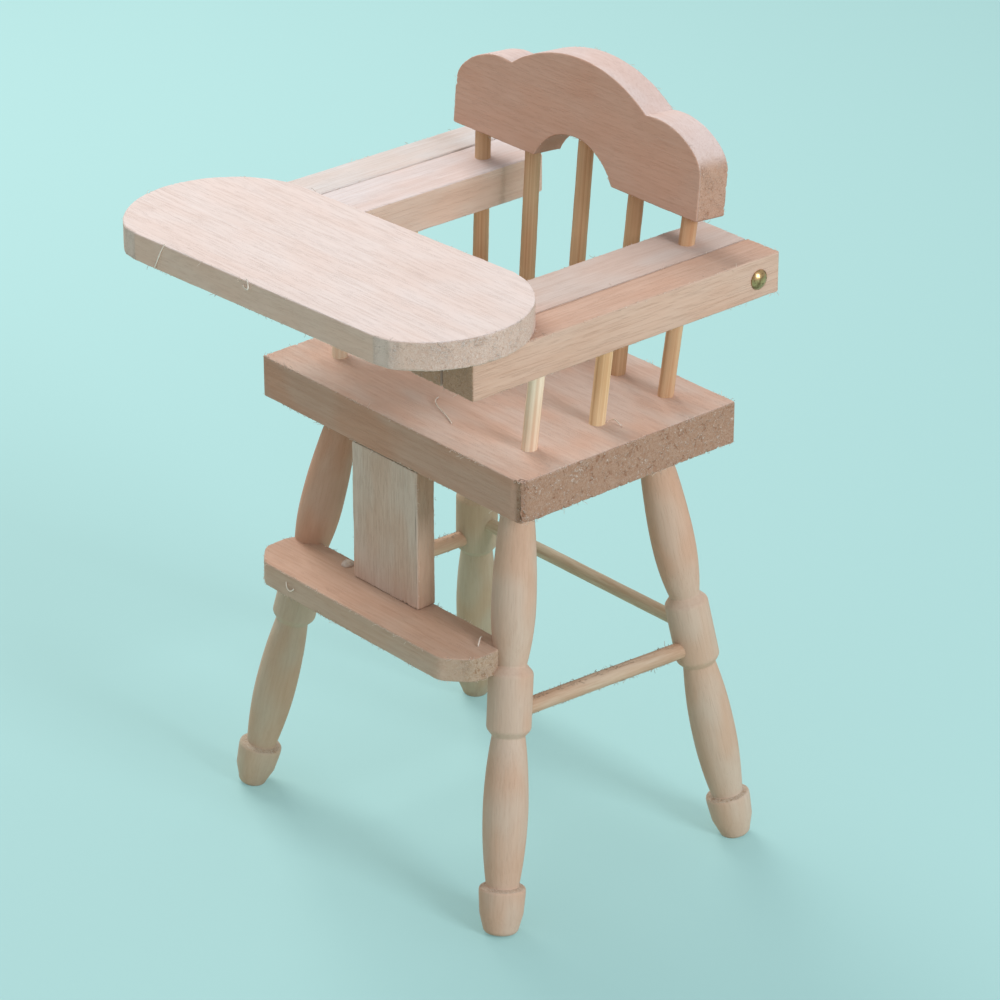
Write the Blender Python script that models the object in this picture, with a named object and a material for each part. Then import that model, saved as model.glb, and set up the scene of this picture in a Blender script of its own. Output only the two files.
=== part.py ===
"""A doll's high chair in bare wood, with a tray that swings up and back over the sitter.

Metres, +Z up. The front faces -Y; left and right are as seen from the front, so right is +X.
The origin lies on the floor under the middle of the chair's outline. Places along Y are counted from
the middle of the seat, and the empty named chair carries them to the origin.
"""

import math

import bmesh
import bpy
from mathutils import Matrix, Vector

# Gaps between pieces
GLUE_GAP = 0.0003
PIN_CLEARANCE = 0.0001
CUT_OVERRUN = 0.0010
MERGE_DISTANCE = 0.00001
FLOOR_CUT_SIZE = 0.0120

# Seat board
SEAT_WIDTH = 0.0440
SEAT_DEPTH = 0.0315
SEAT_THICKNESS = 0.0050
SEAT_HEIGHT = 0.0541
SEAT_SOCKET_SHARE = 0.42

# Legs: where each one enters the seat, and how far its foot is spread from there
LEG_INSET_SIDE = 0.0074
LEG_INSET_FRONT = 0.0062
LEG_INSET_REAR = 0.0058
FRONT_SPREAD_SIDE = 0.0077
FRONT_SPREAD_FORWARD = 0.0093
REAR_SPREAD_SIDE = 0.0089
REAR_SPREAD_BACK = 0.0053

# Turned profile of a leg: radii, and heights along its own axis from the floor
FOOT_TIP_RADIUS = 0.00160
FOOT_ROUNDING = 0.0008
FOOT_RIM_RADIUS = 0.00247
FOOT_RIM_HEIGHT = 0.0045
FOOT_RIM_WIDTH = 0.0007
FOOT_TRIM = 0.0004
FOOT_SIDE_SHARE = 0.62
SHAFT_LOW_RADIUS = 0.00172
SHAFT_RADIUS = 0.00240
SHAFT_TOP_RADIUS = 0.00185
SHAFT_LOW_HEIGHT = 0.0054
SHAFT_TOP_HEIGHT = 0.0220
COLLAR_RADIUS = 0.00250
COLLAR_CHAMFER = 0.0008
COLLAR_TOP_HEIGHT = 0.0298
COLLAR_EDGE = 0.00025
NECK_RADIUS = 0.00172
NECK_DROP = 0.0009
VASE_RADIUS = 0.00247
VASE_TOP_RADIUS = 0.00140
VASE_PEAK_SHARE = 0.34
SHAFT_PEAK_SHARE = 0.50

# Dowels between the legs
SIDE_STRETCHER_RADIUS = 0.00095
REAR_STRETCHER_RADIUS = 0.00080
SIDE_STRETCHER_FRONT_HEIGHT = 0.0244
SIDE_STRETCHER_REAR_HEIGHT = 0.0237
REAR_STRETCHER_HEIGHT = 0.0259
STRETCHER_SOCKET_SHARE = 0.50

# Footrest and the upright panel that ties it to the seat
FOOTREST_LENGTH = 0.0366
FOOTREST_DEPTH = 0.0079
FOOTREST_THICKNESS = 0.0029
FOOTREST_BOTTOM = 0.0292
FOOTREST_CUT_LENGTH = 0.0030
FOOTREST_CUT_DEPTH = 0.0026
PANEL_WIDTH = 0.0112
PANEL_THICKNESS = 0.0025
PANEL_INSET = 0.0001

# Spindles
SPINDLE_RADIUS = 0.00090
BACK_SPINDLE_COUNT = 5
BACK_RAKE = math.radians(5.0)
BACK_INSET_REAR = 0.00465
BACK_INSET_SIDE = 0.0063
BACK_FAN = 0.00145
ARM_SPINDLE_INSET_SIDE = 0.0059
ARM_SPINDLE_INSET_FRONT = 0.0064
ARM_SPINDLE_SPACING = 0.00985
ARM_SPINDLE_LEAN = 0.00055

# Arm bars: the fixed pair on the spindles, and the swinging pair outside it
ARM_RISE = 0.0135
ARM_THICKNESS = 0.00455
FIXED_ARM_WIDTH = 0.0071
TRAY_ARM_WIDTH = 0.0049
ARM_OVERHANG_FRONT = 0.00955
ARM_OVERHANG_REAR = 0.00275
ARM_SOCKET_SHARE = 0.50

# Crest rail
CREST_RISE = 0.0220
CREST_THICKNESS = 0.0040
CREST_END_INSET = 0.0001
CREST_END_HEIGHT = 0.0058
CREST_VALLEY_HEIGHT = 0.00925
CREST_VALLEY_SHARE = 0.548
CREST_SIDE_HUMP = 0.00135
CREST_MIDDLE_HUMP = 0.00345
CREST_ARCH_WIDTH = 0.0128
CREST_ARCH_RISE = 0.0036
CREST_SOCKET_SHARE = 0.38

# Tray
TRAY_DEPTH = 0.0218
TRAY_THICKNESS = 0.0031
TRAY_OVERHANG_FRONT = 0.0092
TRAY_OVERHANG_SIDE = 0.0015
TRAY_END_RADIUS = 0.0115
TRAY_END_CENTRE_SHARE = 0.477

# Brass pins that the tray arms turn on
PIN_INSET_REAR = 0.0031
PIN_SHANK_RADIUS = 0.00045
PIN_HEAD_RADIUS = 0.00125
PIN_HEAD_HEIGHT = 0.0006
PIN_DEPTH_SHARE = 0.50
PIN_POINT = 0.0008

# Sanded edges and the number of sides of the round pieces
EDGE_SANDING = 0.00022
LEG_SIDES = 24
DOWEL_SIDES = 16
ARC_STEPS = 10
SWELLING_STEPS = 5
DOME_STEPS = 4
ROUNDING_STEPS = 3
SANDING_ANGLE = math.radians(40.0)
SMOOTH_ANGLE = math.radians(38.0)

# Places worked out from the sizes above
SEAT_UNDERSIDE = SEAT_HEIGHT - SEAT_THICKNESS
SEAT_FRONT_Y = -SEAT_DEPTH / 2
SEAT_REAR_Y = SEAT_DEPTH / 2
ARM_BOTTOM = SEAT_HEIGHT + ARM_RISE
ARM_TOP = ARM_BOTTOM + ARM_THICKNESS
ARM_MIDDLE_X = SEAT_WIDTH / 2 - ARM_SPINDLE_INSET_SIDE + ARM_SPINDLE_LEAN
FIXED_ARM_OUTER_X = ARM_MIDDLE_X + FIXED_ARM_WIDTH / 2
TRAY_ARM_INNER_X = FIXED_ARM_OUTER_X + GLUE_GAP
TRAY_ARM_OUTER_X = TRAY_ARM_INNER_X + TRAY_ARM_WIDTH
ARM_FRONT_Y = SEAT_FRONT_Y - ARM_OVERHANG_FRONT
ARM_REAR_Y = SEAT_REAR_Y + ARM_OVERHANG_REAR
ARM_LENGTH = ARM_REAR_Y - ARM_FRONT_Y
TRAY_FRONT_Y = ARM_FRONT_Y - TRAY_OVERHANG_FRONT
PIVOT_Y = ARM_REAR_Y - PIN_INSET_REAR
PIVOT_Z = ARM_BOTTOM + ARM_THICKNESS / 2
CREST_HALF_WIDTH = FIXED_ARM_OUTER_X - CREST_END_INSET
SPINDLE_BORE = SPINDLE_RADIUS + GLUE_GAP
SEAT_SOCKET = SEAT_THICKNESS * SEAT_SOCKET_SHARE
CHAIR_Y = -(TRAY_FRONT_Y + ARM_REAR_Y) / 2

PALE_WOOD = (0.70, 0.52, 0.38)
BROWN_WOOD = (0.46, 0.28, 0.15)
BRASS = (0.45, 0.36, 0.14)
WOOD_ROUGHNESS = 0.75
BRASS_ROUGHNESS = 0.35


def clear_scene():
    for item in list(bpy.data.objects):
        bpy.data.objects.remove(item, do_unlink=True)


def empty(name, location, parent=None):
    marker = bpy.data.objects.new(name, None)
    marker.location = location
    marker.parent = parent
    bpy.context.scene.collection.objects.link(marker)
    return marker


def finish_material(name, colour, roughness, metallic):
    material = bpy.data.materials.new(name)
    material.use_nodes = True
    shader = material.node_tree.nodes["Principled BSDF"]
    shader.inputs["Base Color"].default_value = (*colour, 1.0)
    shader.inputs["Roughness"].default_value = roughness
    shader.inputs["Metallic"].default_value = metallic
    return material


def add_object(name, form, parent, location=(0, 0, 0), turn=None):
    """Makes an object from a bmesh, under its parent."""
    bmesh.ops.recalc_face_normals(form, faces=form.faces)
    mesh = bpy.data.meshes.new(name)
    form.to_mesh(mesh)
    form.free()
    item = bpy.data.objects.new(name, mesh)
    bpy.context.scene.collection.objects.link(item)
    item.parent = parent
    item.location = location
    if turn is not None:
        item.rotation_mode = "QUATERNION"
        item.rotation_quaternion = turn
    return item


def wooden(item, colour=PALE_WOOD):
    item.data.materials.append(finish_material(item.name + "_wood", colour, WOOD_ROUGHNESS, 0.0))
    return item


def shade_round(item):
    item.data.shade_smooth()
    item.data.set_sharp_from_angle(angle=SMOOTH_ANGLE)
    return item


def sand_edges(item):
    bevel = item.modifiers.new("sanded_edges", "BEVEL")
    bevel.width = EDGE_SANDING
    bevel.segments = 1
    bevel.limit_method = "ANGLE"
    bevel.angle_limit = SANDING_ANGLE


def extruded(outline, thickness):
    """A board: the outline in the XY plane, extruded upwards by its thickness."""
    form = bmesh.new()
    face = form.faces.new([form.verts.new((x, y, 0)) for x, y in outline])
    top = bmesh.ops.extrude_face_region(form, geom=[face])["geom"]
    raised = [part for part in top if isinstance(part, bmesh.types.BMVert)]
    bmesh.ops.translate(form, verts=raised, vec=(0, 0, thickness))
    return form


def bar(width, depth, height):
    """A square bar or board, its middle at the origin."""
    form = bmesh.new()
    bmesh.ops.create_cube(form, size=1.0, matrix=Matrix.Diagonal((width, depth, height, 1.0)))
    return form


def turned(profile, sides):
    """Spins a profile of (radius, height) points about Z. Its first and last points are on the axis."""
    form = bmesh.new()
    points = [form.verts.new((radius, 0, height)) for radius, height in profile]
    edges = [form.edges.new(pair) for pair in zip(points, points[1:])]
    bmesh.ops.spin(
        form,
        geom=points + edges,
        cent=(0, 0, 0),
        axis=(0, 0, 1),
        angle=math.tau,
        steps=sides,
    )
    bmesh.ops.remove_doubles(form, verts=form.verts, dist=MERGE_DISTANCE)
    return form


def add_rod(form, start, end, radius, sides=DOWEL_SIDES):
    """Adds a straight round rod between two points to a bmesh."""
    start, end = Vector(start), Vector(end)
    run = end - start
    matrix = Matrix.Translation((start + end) / 2) @ run.to_track_quat("Z", "Y").to_matrix().to_4x4()
    bmesh.ops.create_cone(
        form,
        cap_ends=True,
        segments=sides,
        radius1=radius,
        radius2=radius,
        depth=run.length,
        matrix=matrix,
    )


def cut_away(item, cutter):
    """Takes a cutter away from an object and hides the cutter."""
    cutter.hide_render = True
    cutter.display_type = "WIRE"
    cut = item.modifiers.new(cutter.name, "BOOLEAN")
    cut.operation = "DIFFERENCE"
    cut.object = cutter


def bore_holes(item, rods, parent):
    """Bores one hole for each (start, end, radius). The holes of one call don't meet."""
    form = bmesh.new()
    for start, end, radius in rods:
        add_rod(form, start, end, radius)
    cut_away(item, add_object(item.name + "_bores", form, parent))


def dowel(name, start, end, radius, parent, colour):
    """A straight dowel whose own Z axis runs from its start to its end."""
    start, end = Vector(start), Vector(end)
    run = end - start
    form = bmesh.new()
    add_rod(form, (0, 0, 0), (0, 0, run.length), radius)
    item = add_object(name, form, parent, start, run.to_track_quat("Z", "Y"))
    return wooden(shade_round(item), colour)


def arc(start, end, rise):
    """Points after start up to end on an arc that stands out by rise, to the right of its way."""
    start, end = Vector(start), Vector(end)
    chord = end - start
    outward = Vector((chord.y, -chord.x)).normalized()
    radius = (chord.length_squared / 4 + rise * rise) / (2 * abs(rise))
    side = math.copysign(1.0, rise)
    centre = (start + end) / 2 + outward * (rise - side * radius)
    first = math.atan2(start.y - centre.y, start.x - centre.x)
    last = math.atan2(end.y - centre.y, end.x - centre.x)
    sweep = (last - first) % math.tau if side > 0 else -((first - last) % math.tau)
    points = []
    for step in range(1, ARC_STEPS + 1):
        angle = first + sweep * step / ARC_STEPS
        points.append((centre.x + radius * math.cos(angle), centre.y + radius * math.sin(angle)))
    return points


def swelling(low, peak, high):
    """Profile points of a turned swelling, a parabola on each side of its widest place."""
    points = []
    for end, shares in ((low, range(SWELLING_STEPS, 0, -1)), (high, range(SWELLING_STEPS + 1))):
        for step in shares:
            share = step / SWELLING_STEPS
            radius = peak[0] + (end[0] - peak[0]) * share * share
            points.append((radius, peak[1] + (end[1] - peak[1]) * share))
    return points


def between(low, high, share):
    return low + (high - low) * share


def leg_profile(seat_distance):
    """The turned profile of a leg, from its foot to the end of its tenon, on its own axis."""
    shaft_peak = between(SHAFT_LOW_HEIGHT, SHAFT_TOP_HEIGHT, SHAFT_PEAK_SHARE)
    neck_height = COLLAR_TOP_HEIGHT + NECK_DROP
    vase_peak = between(neck_height, seat_distance, VASE_PEAK_SHARE)
    profile = [(0, -FOOT_TRIM)]
    for step in range(ROUNDING_STEPS + 1):
        angle = math.pi / 2 * step / ROUNDING_STEPS
        radius = FOOT_TIP_RADIUS - FOOT_ROUNDING * (1 - math.sin(angle))
        profile.append((radius, FOOT_ROUNDING * (1 - math.cos(angle)) - FOOT_TRIM))
    profile += [
        (between(FOOT_TIP_RADIUS, FOOT_RIM_RADIUS, FOOT_SIDE_SHARE), FOOT_RIM_HEIGHT / 2),
        (FOOT_RIM_RADIUS, FOOT_RIM_HEIGHT),
        (FOOT_RIM_RADIUS, FOOT_RIM_HEIGHT + FOOT_RIM_WIDTH),
    ]
    profile += swelling(
        (SHAFT_LOW_RADIUS, SHAFT_LOW_HEIGHT),
        (SHAFT_RADIUS, shaft_peak),
        (SHAFT_TOP_RADIUS, SHAFT_TOP_HEIGHT),
    )
    profile += [
        (COLLAR_RADIUS, SHAFT_TOP_HEIGHT + COLLAR_CHAMFER),
        (COLLAR_RADIUS, COLLAR_TOP_HEIGHT - COLLAR_EDGE),
        (COLLAR_RADIUS - COLLAR_EDGE, COLLAR_TOP_HEIGHT),
    ]
    profile += swelling(
        (NECK_RADIUS, neck_height),
        (VASE_RADIUS, vase_peak),
        (VASE_TOP_RADIUS, seat_distance),
    )
    tenon_end = seat_distance + SEAT_SOCKET - GLUE_GAP
    profile += [(VASE_TOP_RADIUS, tenon_end), (0, tenon_end)]
    return profile


def radius_at(profile, height):
    """The turned radius at a height along the profile."""
    for low, high in zip(profile, profile[1:]):
        if low[1] <= height <= high[1] and high[1] > low[1]:
            return between(low[0], high[0], (height - low[1]) / (high[1] - low[1]))
    return profile[-2][0]


def leg_line(side, rear):
    """(foot, seat end) of a leg's axis: on the floor, and in the seat's underside."""
    top_x = SEAT_WIDTH / 2 - LEG_INSET_SIDE
    if rear:
        top_y = SEAT_REAR_Y - LEG_INSET_REAR
        foot = Vector((side * (top_x + REAR_SPREAD_SIDE), top_y + REAR_SPREAD_BACK, 0))
    else:
        top_y = SEAT_FRONT_Y + LEG_INSET_FRONT
        foot = Vector((side * (top_x + FRONT_SPREAD_SIDE), top_y - FRONT_SPREAD_FORWARD, 0))
    return foot, Vector((side * top_x, top_y, SEAT_UNDERSIDE))


def on_line(line, height):
    """The point of a leg's axis at a height above the floor."""
    foot, top = line
    return foot.lerp(top, height / top.z)


def stretcher_lines():
    """(name, radius, joints) of each stretcher. A joint is a leg's line and a height on it."""
    lines = []
    for side, word in ((-1, "left"), (1, "right")):
        joints = (
            (leg_line(side, False), SIDE_STRETCHER_FRONT_HEIGHT),
            (leg_line(side, True), SIDE_STRETCHER_REAR_HEIGHT),
        )
        lines.append((word + "_stretcher", SIDE_STRETCHER_RADIUS, joints))
    joints = [(leg_line(side, True), REAR_STRETCHER_HEIGHT) for side in (-1, 1)]
    lines.append(("rear_stretcher", REAR_STRETCHER_RADIUS, joints))
    return lines


def stretcher_ends(joints):
    """Where a stretcher ends inside the two collars, and the direction in which it runs."""
    first, second = [on_line(line, height) for line, height in joints]
    way = (second - first).normalized()
    depth = COLLAR_RADIUS * (1 - STRETCHER_SOCKET_SHARE)
    return first + way * depth, second - way * depth, way


def make_stretchers(parent):
    for name, radius, joints in stretcher_lines():
        start, end, way = stretcher_ends(joints)
        dowel(name, start, end, radius, parent, PALE_WOOD)


def collar_bores(line):
    """The bores that the stretchers need in the collar of the leg on this line."""
    bores = []
    reach = COLLAR_RADIUS + CUT_OVERRUN
    for name, radius, joints in stretcher_lines():
        start, end, way = stretcher_ends(joints)
        for (leg, height), place, inward in ((joints[0], start, way), (joints[1], end, -way)):
            if (leg[0] - line[0]).length < GLUE_GAP:
                bores.append((place - inward * GLUE_GAP, place + inward * reach, radius + GLUE_GAP))
    return bores


def make_leg(name, side, rear, parent):
    line = leg_line(side, rear)
    foot, top = line
    run = top - foot
    leg = add_object(
        name, turned(leg_profile(run.length), LEG_SIDES), parent, foot, run.to_track_quat("Z", "Y")
    )
    shade_round(wooden(leg))
    bore_holes(leg, collar_bores(line), parent)
    floor = add_object(name + "_floor", bar(FLOOR_CUT_SIZE, FLOOR_CUT_SIZE, FLOOR_CUT_SIZE), parent)
    floor.location = (foot.x, foot.y, -FLOOR_CUT_SIZE / 2)
    cut_away(leg, floor)


def seat_bores():
    """The sockets of the legs in the seat's underside, and of the spindles in its top."""
    bores = []
    for side in (-1, 1):
        for rear in (False, True):
            foot, top = leg_line(side, rear)
            way = (top - foot).normalized()
            start, end = top - way * CUT_OVERRUN, top + way * SEAT_SOCKET
            bores.append((start, end, VASE_TOP_RADIUS + GLUE_GAP))
    for low, high in list(back_spindle_lines()) + [line for word, line in arm_spindle_lines()]:
        way = (high - low).normalized()
        bores.append((low - way * SEAT_SOCKET, low + way * CUT_OVERRUN, SPINDLE_BORE))
    return bores


def make_seat(parent):
    seat = add_object("seat", bar(SEAT_WIDTH, SEAT_DEPTH, SEAT_THICKNESS), parent)
    seat.location = (0, 0, SEAT_HEIGHT - SEAT_THICKNESS / 2)
    wooden(seat)
    sand_edges(seat)
    bore_holes(seat, seat_bores(), parent)


def back_spindle_lines():
    """Each back spindle's axis, from the seat's top to the height of the crest rail's underside."""
    outer = SEAT_WIDTH / 2 - BACK_INSET_SIDE
    foot_y = SEAT_REAR_Y - BACK_INSET_REAR
    for index in range(BACK_SPINDLE_COUNT):
        share = 2 * index / (BACK_SPINDLE_COUNT - 1) - 1
        low = Vector((share * outer, foot_y, SEAT_HEIGHT))
        lean = CREST_RISE * math.tan(BACK_RAKE)
        yield low, low + Vector((share * BACK_FAN, lean, CREST_RISE))


def arm_spindle_lines():
    """(name, axis) of each arm spindle, from the seat's top to the fixed arm's underside."""
    lines = []
    lean = ARM_RISE * math.tan(BACK_RAKE)
    for side, side_word in ((-1, "left"), (1, "right")):
        for index, place in enumerate(("front", "middle")):
            foot_y = SEAT_FRONT_Y + ARM_SPINDLE_INSET_FRONT + index * ARM_SPINDLE_SPACING
            low = Vector((side * (SEAT_WIDTH / 2 - ARM_SPINDLE_INSET_SIDE), foot_y, SEAT_HEIGHT))
            high = low + Vector((side * ARM_SPINDLE_LEAN, lean, ARM_RISE))
            lines.append((side_word + "_" + place + "_arm_spindle", (low, high)))
    return lines


def crest_arch_height(x):
    """How far the arch under the crest rail rises at a place along it."""
    half = CREST_ARCH_WIDTH / 2
    if abs(x) >= half:
        return 0.0
    radius = (half * half + CREST_ARCH_RISE * CREST_ARCH_RISE) / (2 * CREST_ARCH_RISE)
    return CREST_ARCH_RISE - radius + math.sqrt(radius * radius - x * x)


def make_back_spindles(parent):
    names = ("left_outer", "left_inner", "centre", "right_inner", "right_outer")
    for name, (low, high) in zip(names, back_spindle_lines()):
        way = (high - low).normalized()
        start = low - way * (SEAT_SOCKET - GLUE_GAP)
        socket = CREST_END_HEIGHT * CREST_SOCKET_SHARE
        end = high + way * (crest_arch_height(high.x) + socket - GLUE_GAP)
        dowel(name + "_back_spindle", start, end, SPINDLE_RADIUS, parent, BROWN_WOOD)


def make_arm_spindles(parent):
    for name, (low, high) in arm_spindle_lines():
        way = (high - low).normalized()
        start = low - way * (SEAT_SOCKET - GLUE_GAP)
        end = high + way * (ARM_THICKNESS * ARM_SOCKET_SHARE - GLUE_GAP)
        dowel(name, start, end, SPINDLE_RADIUS, parent, BROWN_WOOD)


def make_fixed_arm(name, side, parent):
    arm = add_object(name, bar(FIXED_ARM_WIDTH, ARM_LENGTH, ARM_THICKNESS), parent)
    arm.location = (side * ARM_MIDDLE_X, (ARM_FRONT_Y + ARM_REAR_Y) / 2, PIVOT_Z)
    wooden(arm)
    sand_edges(arm)
    bores = []
    for spindle, (low, high) in arm_spindle_lines():
        if low.x * side > 0:
            way = (high - low).normalized()
            depth = ARM_THICKNESS * ARM_SOCKET_SHARE
            bores.append((high - way * CUT_OVERRUN, high + way * depth, SPINDLE_BORE))
    low, high = list(back_spindle_lines())[0 if side < 0 else -1]
    way = (high - low) / (high.z - low.z)
    bottom, top = ARM_BOTTOM - CUT_OVERRUN - low.z, ARM_TOP + CUT_OVERRUN - low.z
    bores.append((low + way * bottom, low + way * top, SPINDLE_BORE))
    bores.append(
        (
            (side * (FIXED_ARM_OUTER_X - pin_depth() - GLUE_GAP), PIVOT_Y, PIVOT_Z),
            (side * (FIXED_ARM_OUTER_X + CUT_OVERRUN), PIVOT_Y, PIVOT_Z),
            PIN_SHANK_RADIUS + PIN_CLEARANCE,
        )
    )
    bore_holes(arm, bores, parent)


def make_crest_rail(parent):
    valley_x = CREST_HALF_WIDTH * CREST_VALLEY_SHARE
    half_arch = CREST_ARCH_WIDTH / 2
    outline = [(CREST_HALF_WIDTH, 0), (CREST_HALF_WIDTH, CREST_END_HEIGHT)]
    outline += arc(outline[-1], (valley_x, CREST_VALLEY_HEIGHT), CREST_SIDE_HUMP)
    outline += arc(outline[-1], (-valley_x, CREST_VALLEY_HEIGHT), CREST_MIDDLE_HUMP)
    outline += arc(outline[-1], (-CREST_HALF_WIDTH, CREST_END_HEIGHT), CREST_SIDE_HUMP)
    outline += [(-CREST_HALF_WIDTH, 0), (-half_arch, 0)]
    outline += arc(outline[-1], (half_arch, 0), -CREST_ARCH_RISE)
    form = extruded(outline, CREST_THICKNESS)
    bmesh.ops.translate(form, verts=form.verts, vec=(0, 0, -CREST_THICKNESS / 2))
    upright = Matrix.Rotation(math.pi / 2 - BACK_RAKE, 3, "X").to_quaternion()
    middle_low, middle = list(back_spindle_lines())[BACK_SPINDLE_COUNT // 2]
    crest = add_object("crest_rail", form, parent, middle, upright)
    wooden(crest)
    sand_edges(crest)
    bores = []
    for low, high in back_spindle_lines():
        way = (high - low).normalized()
        depth = crest_arch_height(high.x) + CREST_END_HEIGHT * CREST_SOCKET_SHARE
        bores.append((high - way * CUT_OVERRUN, high + way * depth, SPINDLE_BORE))
    bore_holes(crest, bores, parent)


def make_footrest(parent):
    """The footrest, hollowed round the collars and necks of the front legs, and the panel above it."""
    top = FOOTREST_BOTTOM + FOOTREST_THICKNESS
    back = SEAT_FRONT_Y + PANEL_INSET + PANEL_THICKNESS
    front = back - FOOTREST_DEPTH
    half = FOOTREST_LENGTH / 2
    outline = [
        (-half + FOOTREST_CUT_LENGTH, front),
        (half - FOOTREST_CUT_LENGTH, front),
        (half, front + FOOTREST_CUT_DEPTH),
        (half, back),
        (-half, back),
        (-half, front + FOOTREST_CUT_DEPTH),
    ]
    form = extruded(outline, FOOTREST_THICKNESS)
    footrest = add_object("footrest", form, parent, (0, 0, FOOTREST_BOTTOM))
    wooden(footrest)
    sand_edges(footrest)
    necks = []
    collars = []
    for side in (-1, 1):
        foot, seat_end = line = leg_line(side, False)
        run = seat_end - foot
        neck = radius_at(leg_profile(run.length), run.length * top / seat_end.z) + GLUE_GAP
        low, high = on_line(line, FOOTREST_BOTTOM - CUT_OVERRUN), on_line(line, top + CUT_OVERRUN)
        shoulder = foot + run.normalized() * (COLLAR_TOP_HEIGHT + GLUE_GAP)
        necks.append((low, high, neck))
        collars.append((low, shoulder, COLLAR_RADIUS + GLUE_GAP))
    bore_holes(footrest, necks, parent)
    bore_holes(footrest, collars, parent)
    height = SEAT_UNDERSIDE - top - 2 * GLUE_GAP
    panel = add_object("footrest_panel", bar(PANEL_WIDTH, PANEL_THICKNESS, height), parent)
    panel.location = (0, back - PANEL_THICKNESS / 2, (SEAT_UNDERSIDE + top) / 2)
    wooden(panel)
    sand_edges(panel)


def pin_depth():
    """How deep a pin's shank goes into the fixed arm."""
    return FIXED_ARM_WIDTH * PIN_DEPTH_SHARE


def make_tray(pivot):
    """The tray and its two arm bars, which hang on the pivot between the pins."""
    half = TRAY_ARM_OUTER_X + TRAY_OVERHANG_SIDE
    centre_x = half - TRAY_END_RADIUS
    front = TRAY_FRONT_Y - PIVOT_Y
    centre_y = front + TRAY_DEPTH * TRAY_END_CENTRE_SHARE
    first = -math.asin(min(1.0, (centre_y - front) / TRAY_END_RADIUS))
    last = math.asin(min(1.0, (front + TRAY_DEPTH - centre_y) / TRAY_END_RADIUS))
    end = []
    for step in range(2 * ARC_STEPS + 1):
        angle = between(first, last, step / (2 * ARC_STEPS))
        x = centre_x + TRAY_END_RADIUS * math.cos(angle)
        end.append((x, centre_y + TRAY_END_RADIUS * math.sin(angle)))
    outline = end + [(-x, y) for x, y in reversed(end)]
    tray_bottom = ARM_THICKNESS / 2 + GLUE_GAP
    tray = add_object("tray", extruded(outline, TRAY_THICKNESS), pivot, (0, 0, tray_bottom))
    wooden(tray)
    sand_edges(tray)
    for side, word in ((-1, "left"), (1, "right")):
        arm = add_object(word + "_tray_arm", bar(TRAY_ARM_WIDTH, ARM_LENGTH, ARM_THICKNESS), pivot)
        middle_x = side * (TRAY_ARM_INNER_X + TRAY_ARM_OUTER_X) / 2
        arm.location = (middle_x, PIN_INSET_REAR - ARM_LENGTH / 2, 0)
        wooden(arm)
        sand_edges(arm)
        inner = (side * (TRAY_ARM_INNER_X - CUT_OVERRUN), 0, 0)
        outer = (side * (TRAY_ARM_OUTER_X + CUT_OVERRUN), 0, 0)
        bore_holes(arm, [(inner, outer, PIN_SHANK_RADIUS + PIN_CLEARANCE)], pivot)


def make_pin(name, side, parent):
    """A brass pin: a domed head outside the tray arm, and a pointed shank through it into the fixed arm."""
    dome_radius = (PIN_HEAD_RADIUS**2 + PIN_HEAD_HEIGHT**2) / (2 * PIN_HEAD_HEIGHT)
    dome_angle = math.asin(min(1.0, PIN_HEAD_RADIUS / dome_radius))
    profile = []
    for step in range(DOME_STEPS + 1):
        angle = dome_angle * step / DOME_STEPS
        height = PIN_HEAD_HEIGHT - dome_radius * (1 - math.cos(angle))
        profile.append((dome_radius * math.sin(angle), height))
    shank = GLUE_GAP + TRAY_ARM_WIDTH + GLUE_GAP + pin_depth()
    profile += [(PIN_SHANK_RADIUS, 0), (PIN_SHANK_RADIUS, PIN_POINT - shank), (0, -shank)]
    outward = Vector((side, 0, 0)).to_track_quat("Z", "Y")
    head_x = side * (TRAY_ARM_OUTER_X + GLUE_GAP)
    pin = add_object(name, turned(profile, DOWEL_SIDES), parent, (head_x, PIVOT_Y, PIVOT_Z), outward)
    pin.data.materials.append(finish_material(name + "_brass", BRASS, BRASS_ROUGHNESS, 1.0))
    shade_round(pin)


def main():
    clear_scene()
    chair = empty("chair", (0, CHAIR_Y, 0))
    make_seat(chair)
    for side, side_word in ((-1, "left"), (1, "right")):
        for rear, row_word in ((False, "front"), (True, "rear")):
            make_leg(row_word + "_" + side_word + "_leg", side, rear, chair)
        make_fixed_arm(side_word + "_fixed_arm", side, chair)
        make_pin(side_word + "_hinge_pin", side, chair)
    make_stretchers(chair)
    make_footrest(chair)
    make_back_spindles(chair)
    make_arm_spindles(chair)
    make_crest_rail(chair)
    make_tray(empty("tray_pivot", (0, PIVOT_Y, PIVOT_Z), chair))


main()
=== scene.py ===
# %% [markdown]
# # A doll's high chair in bare wood
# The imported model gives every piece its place. Here each piece gets the shape that a finger would feel:
# edges broken by hand with sandpaper, round stock that isn't quite round, loose fibres along the saw cuts.
# A fixed frame comes first, because every piece is put where the frame says.

# %% Load the frame
import math

import bmesh
import bpy
from mathutils import Matrix, Vector, noise


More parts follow.
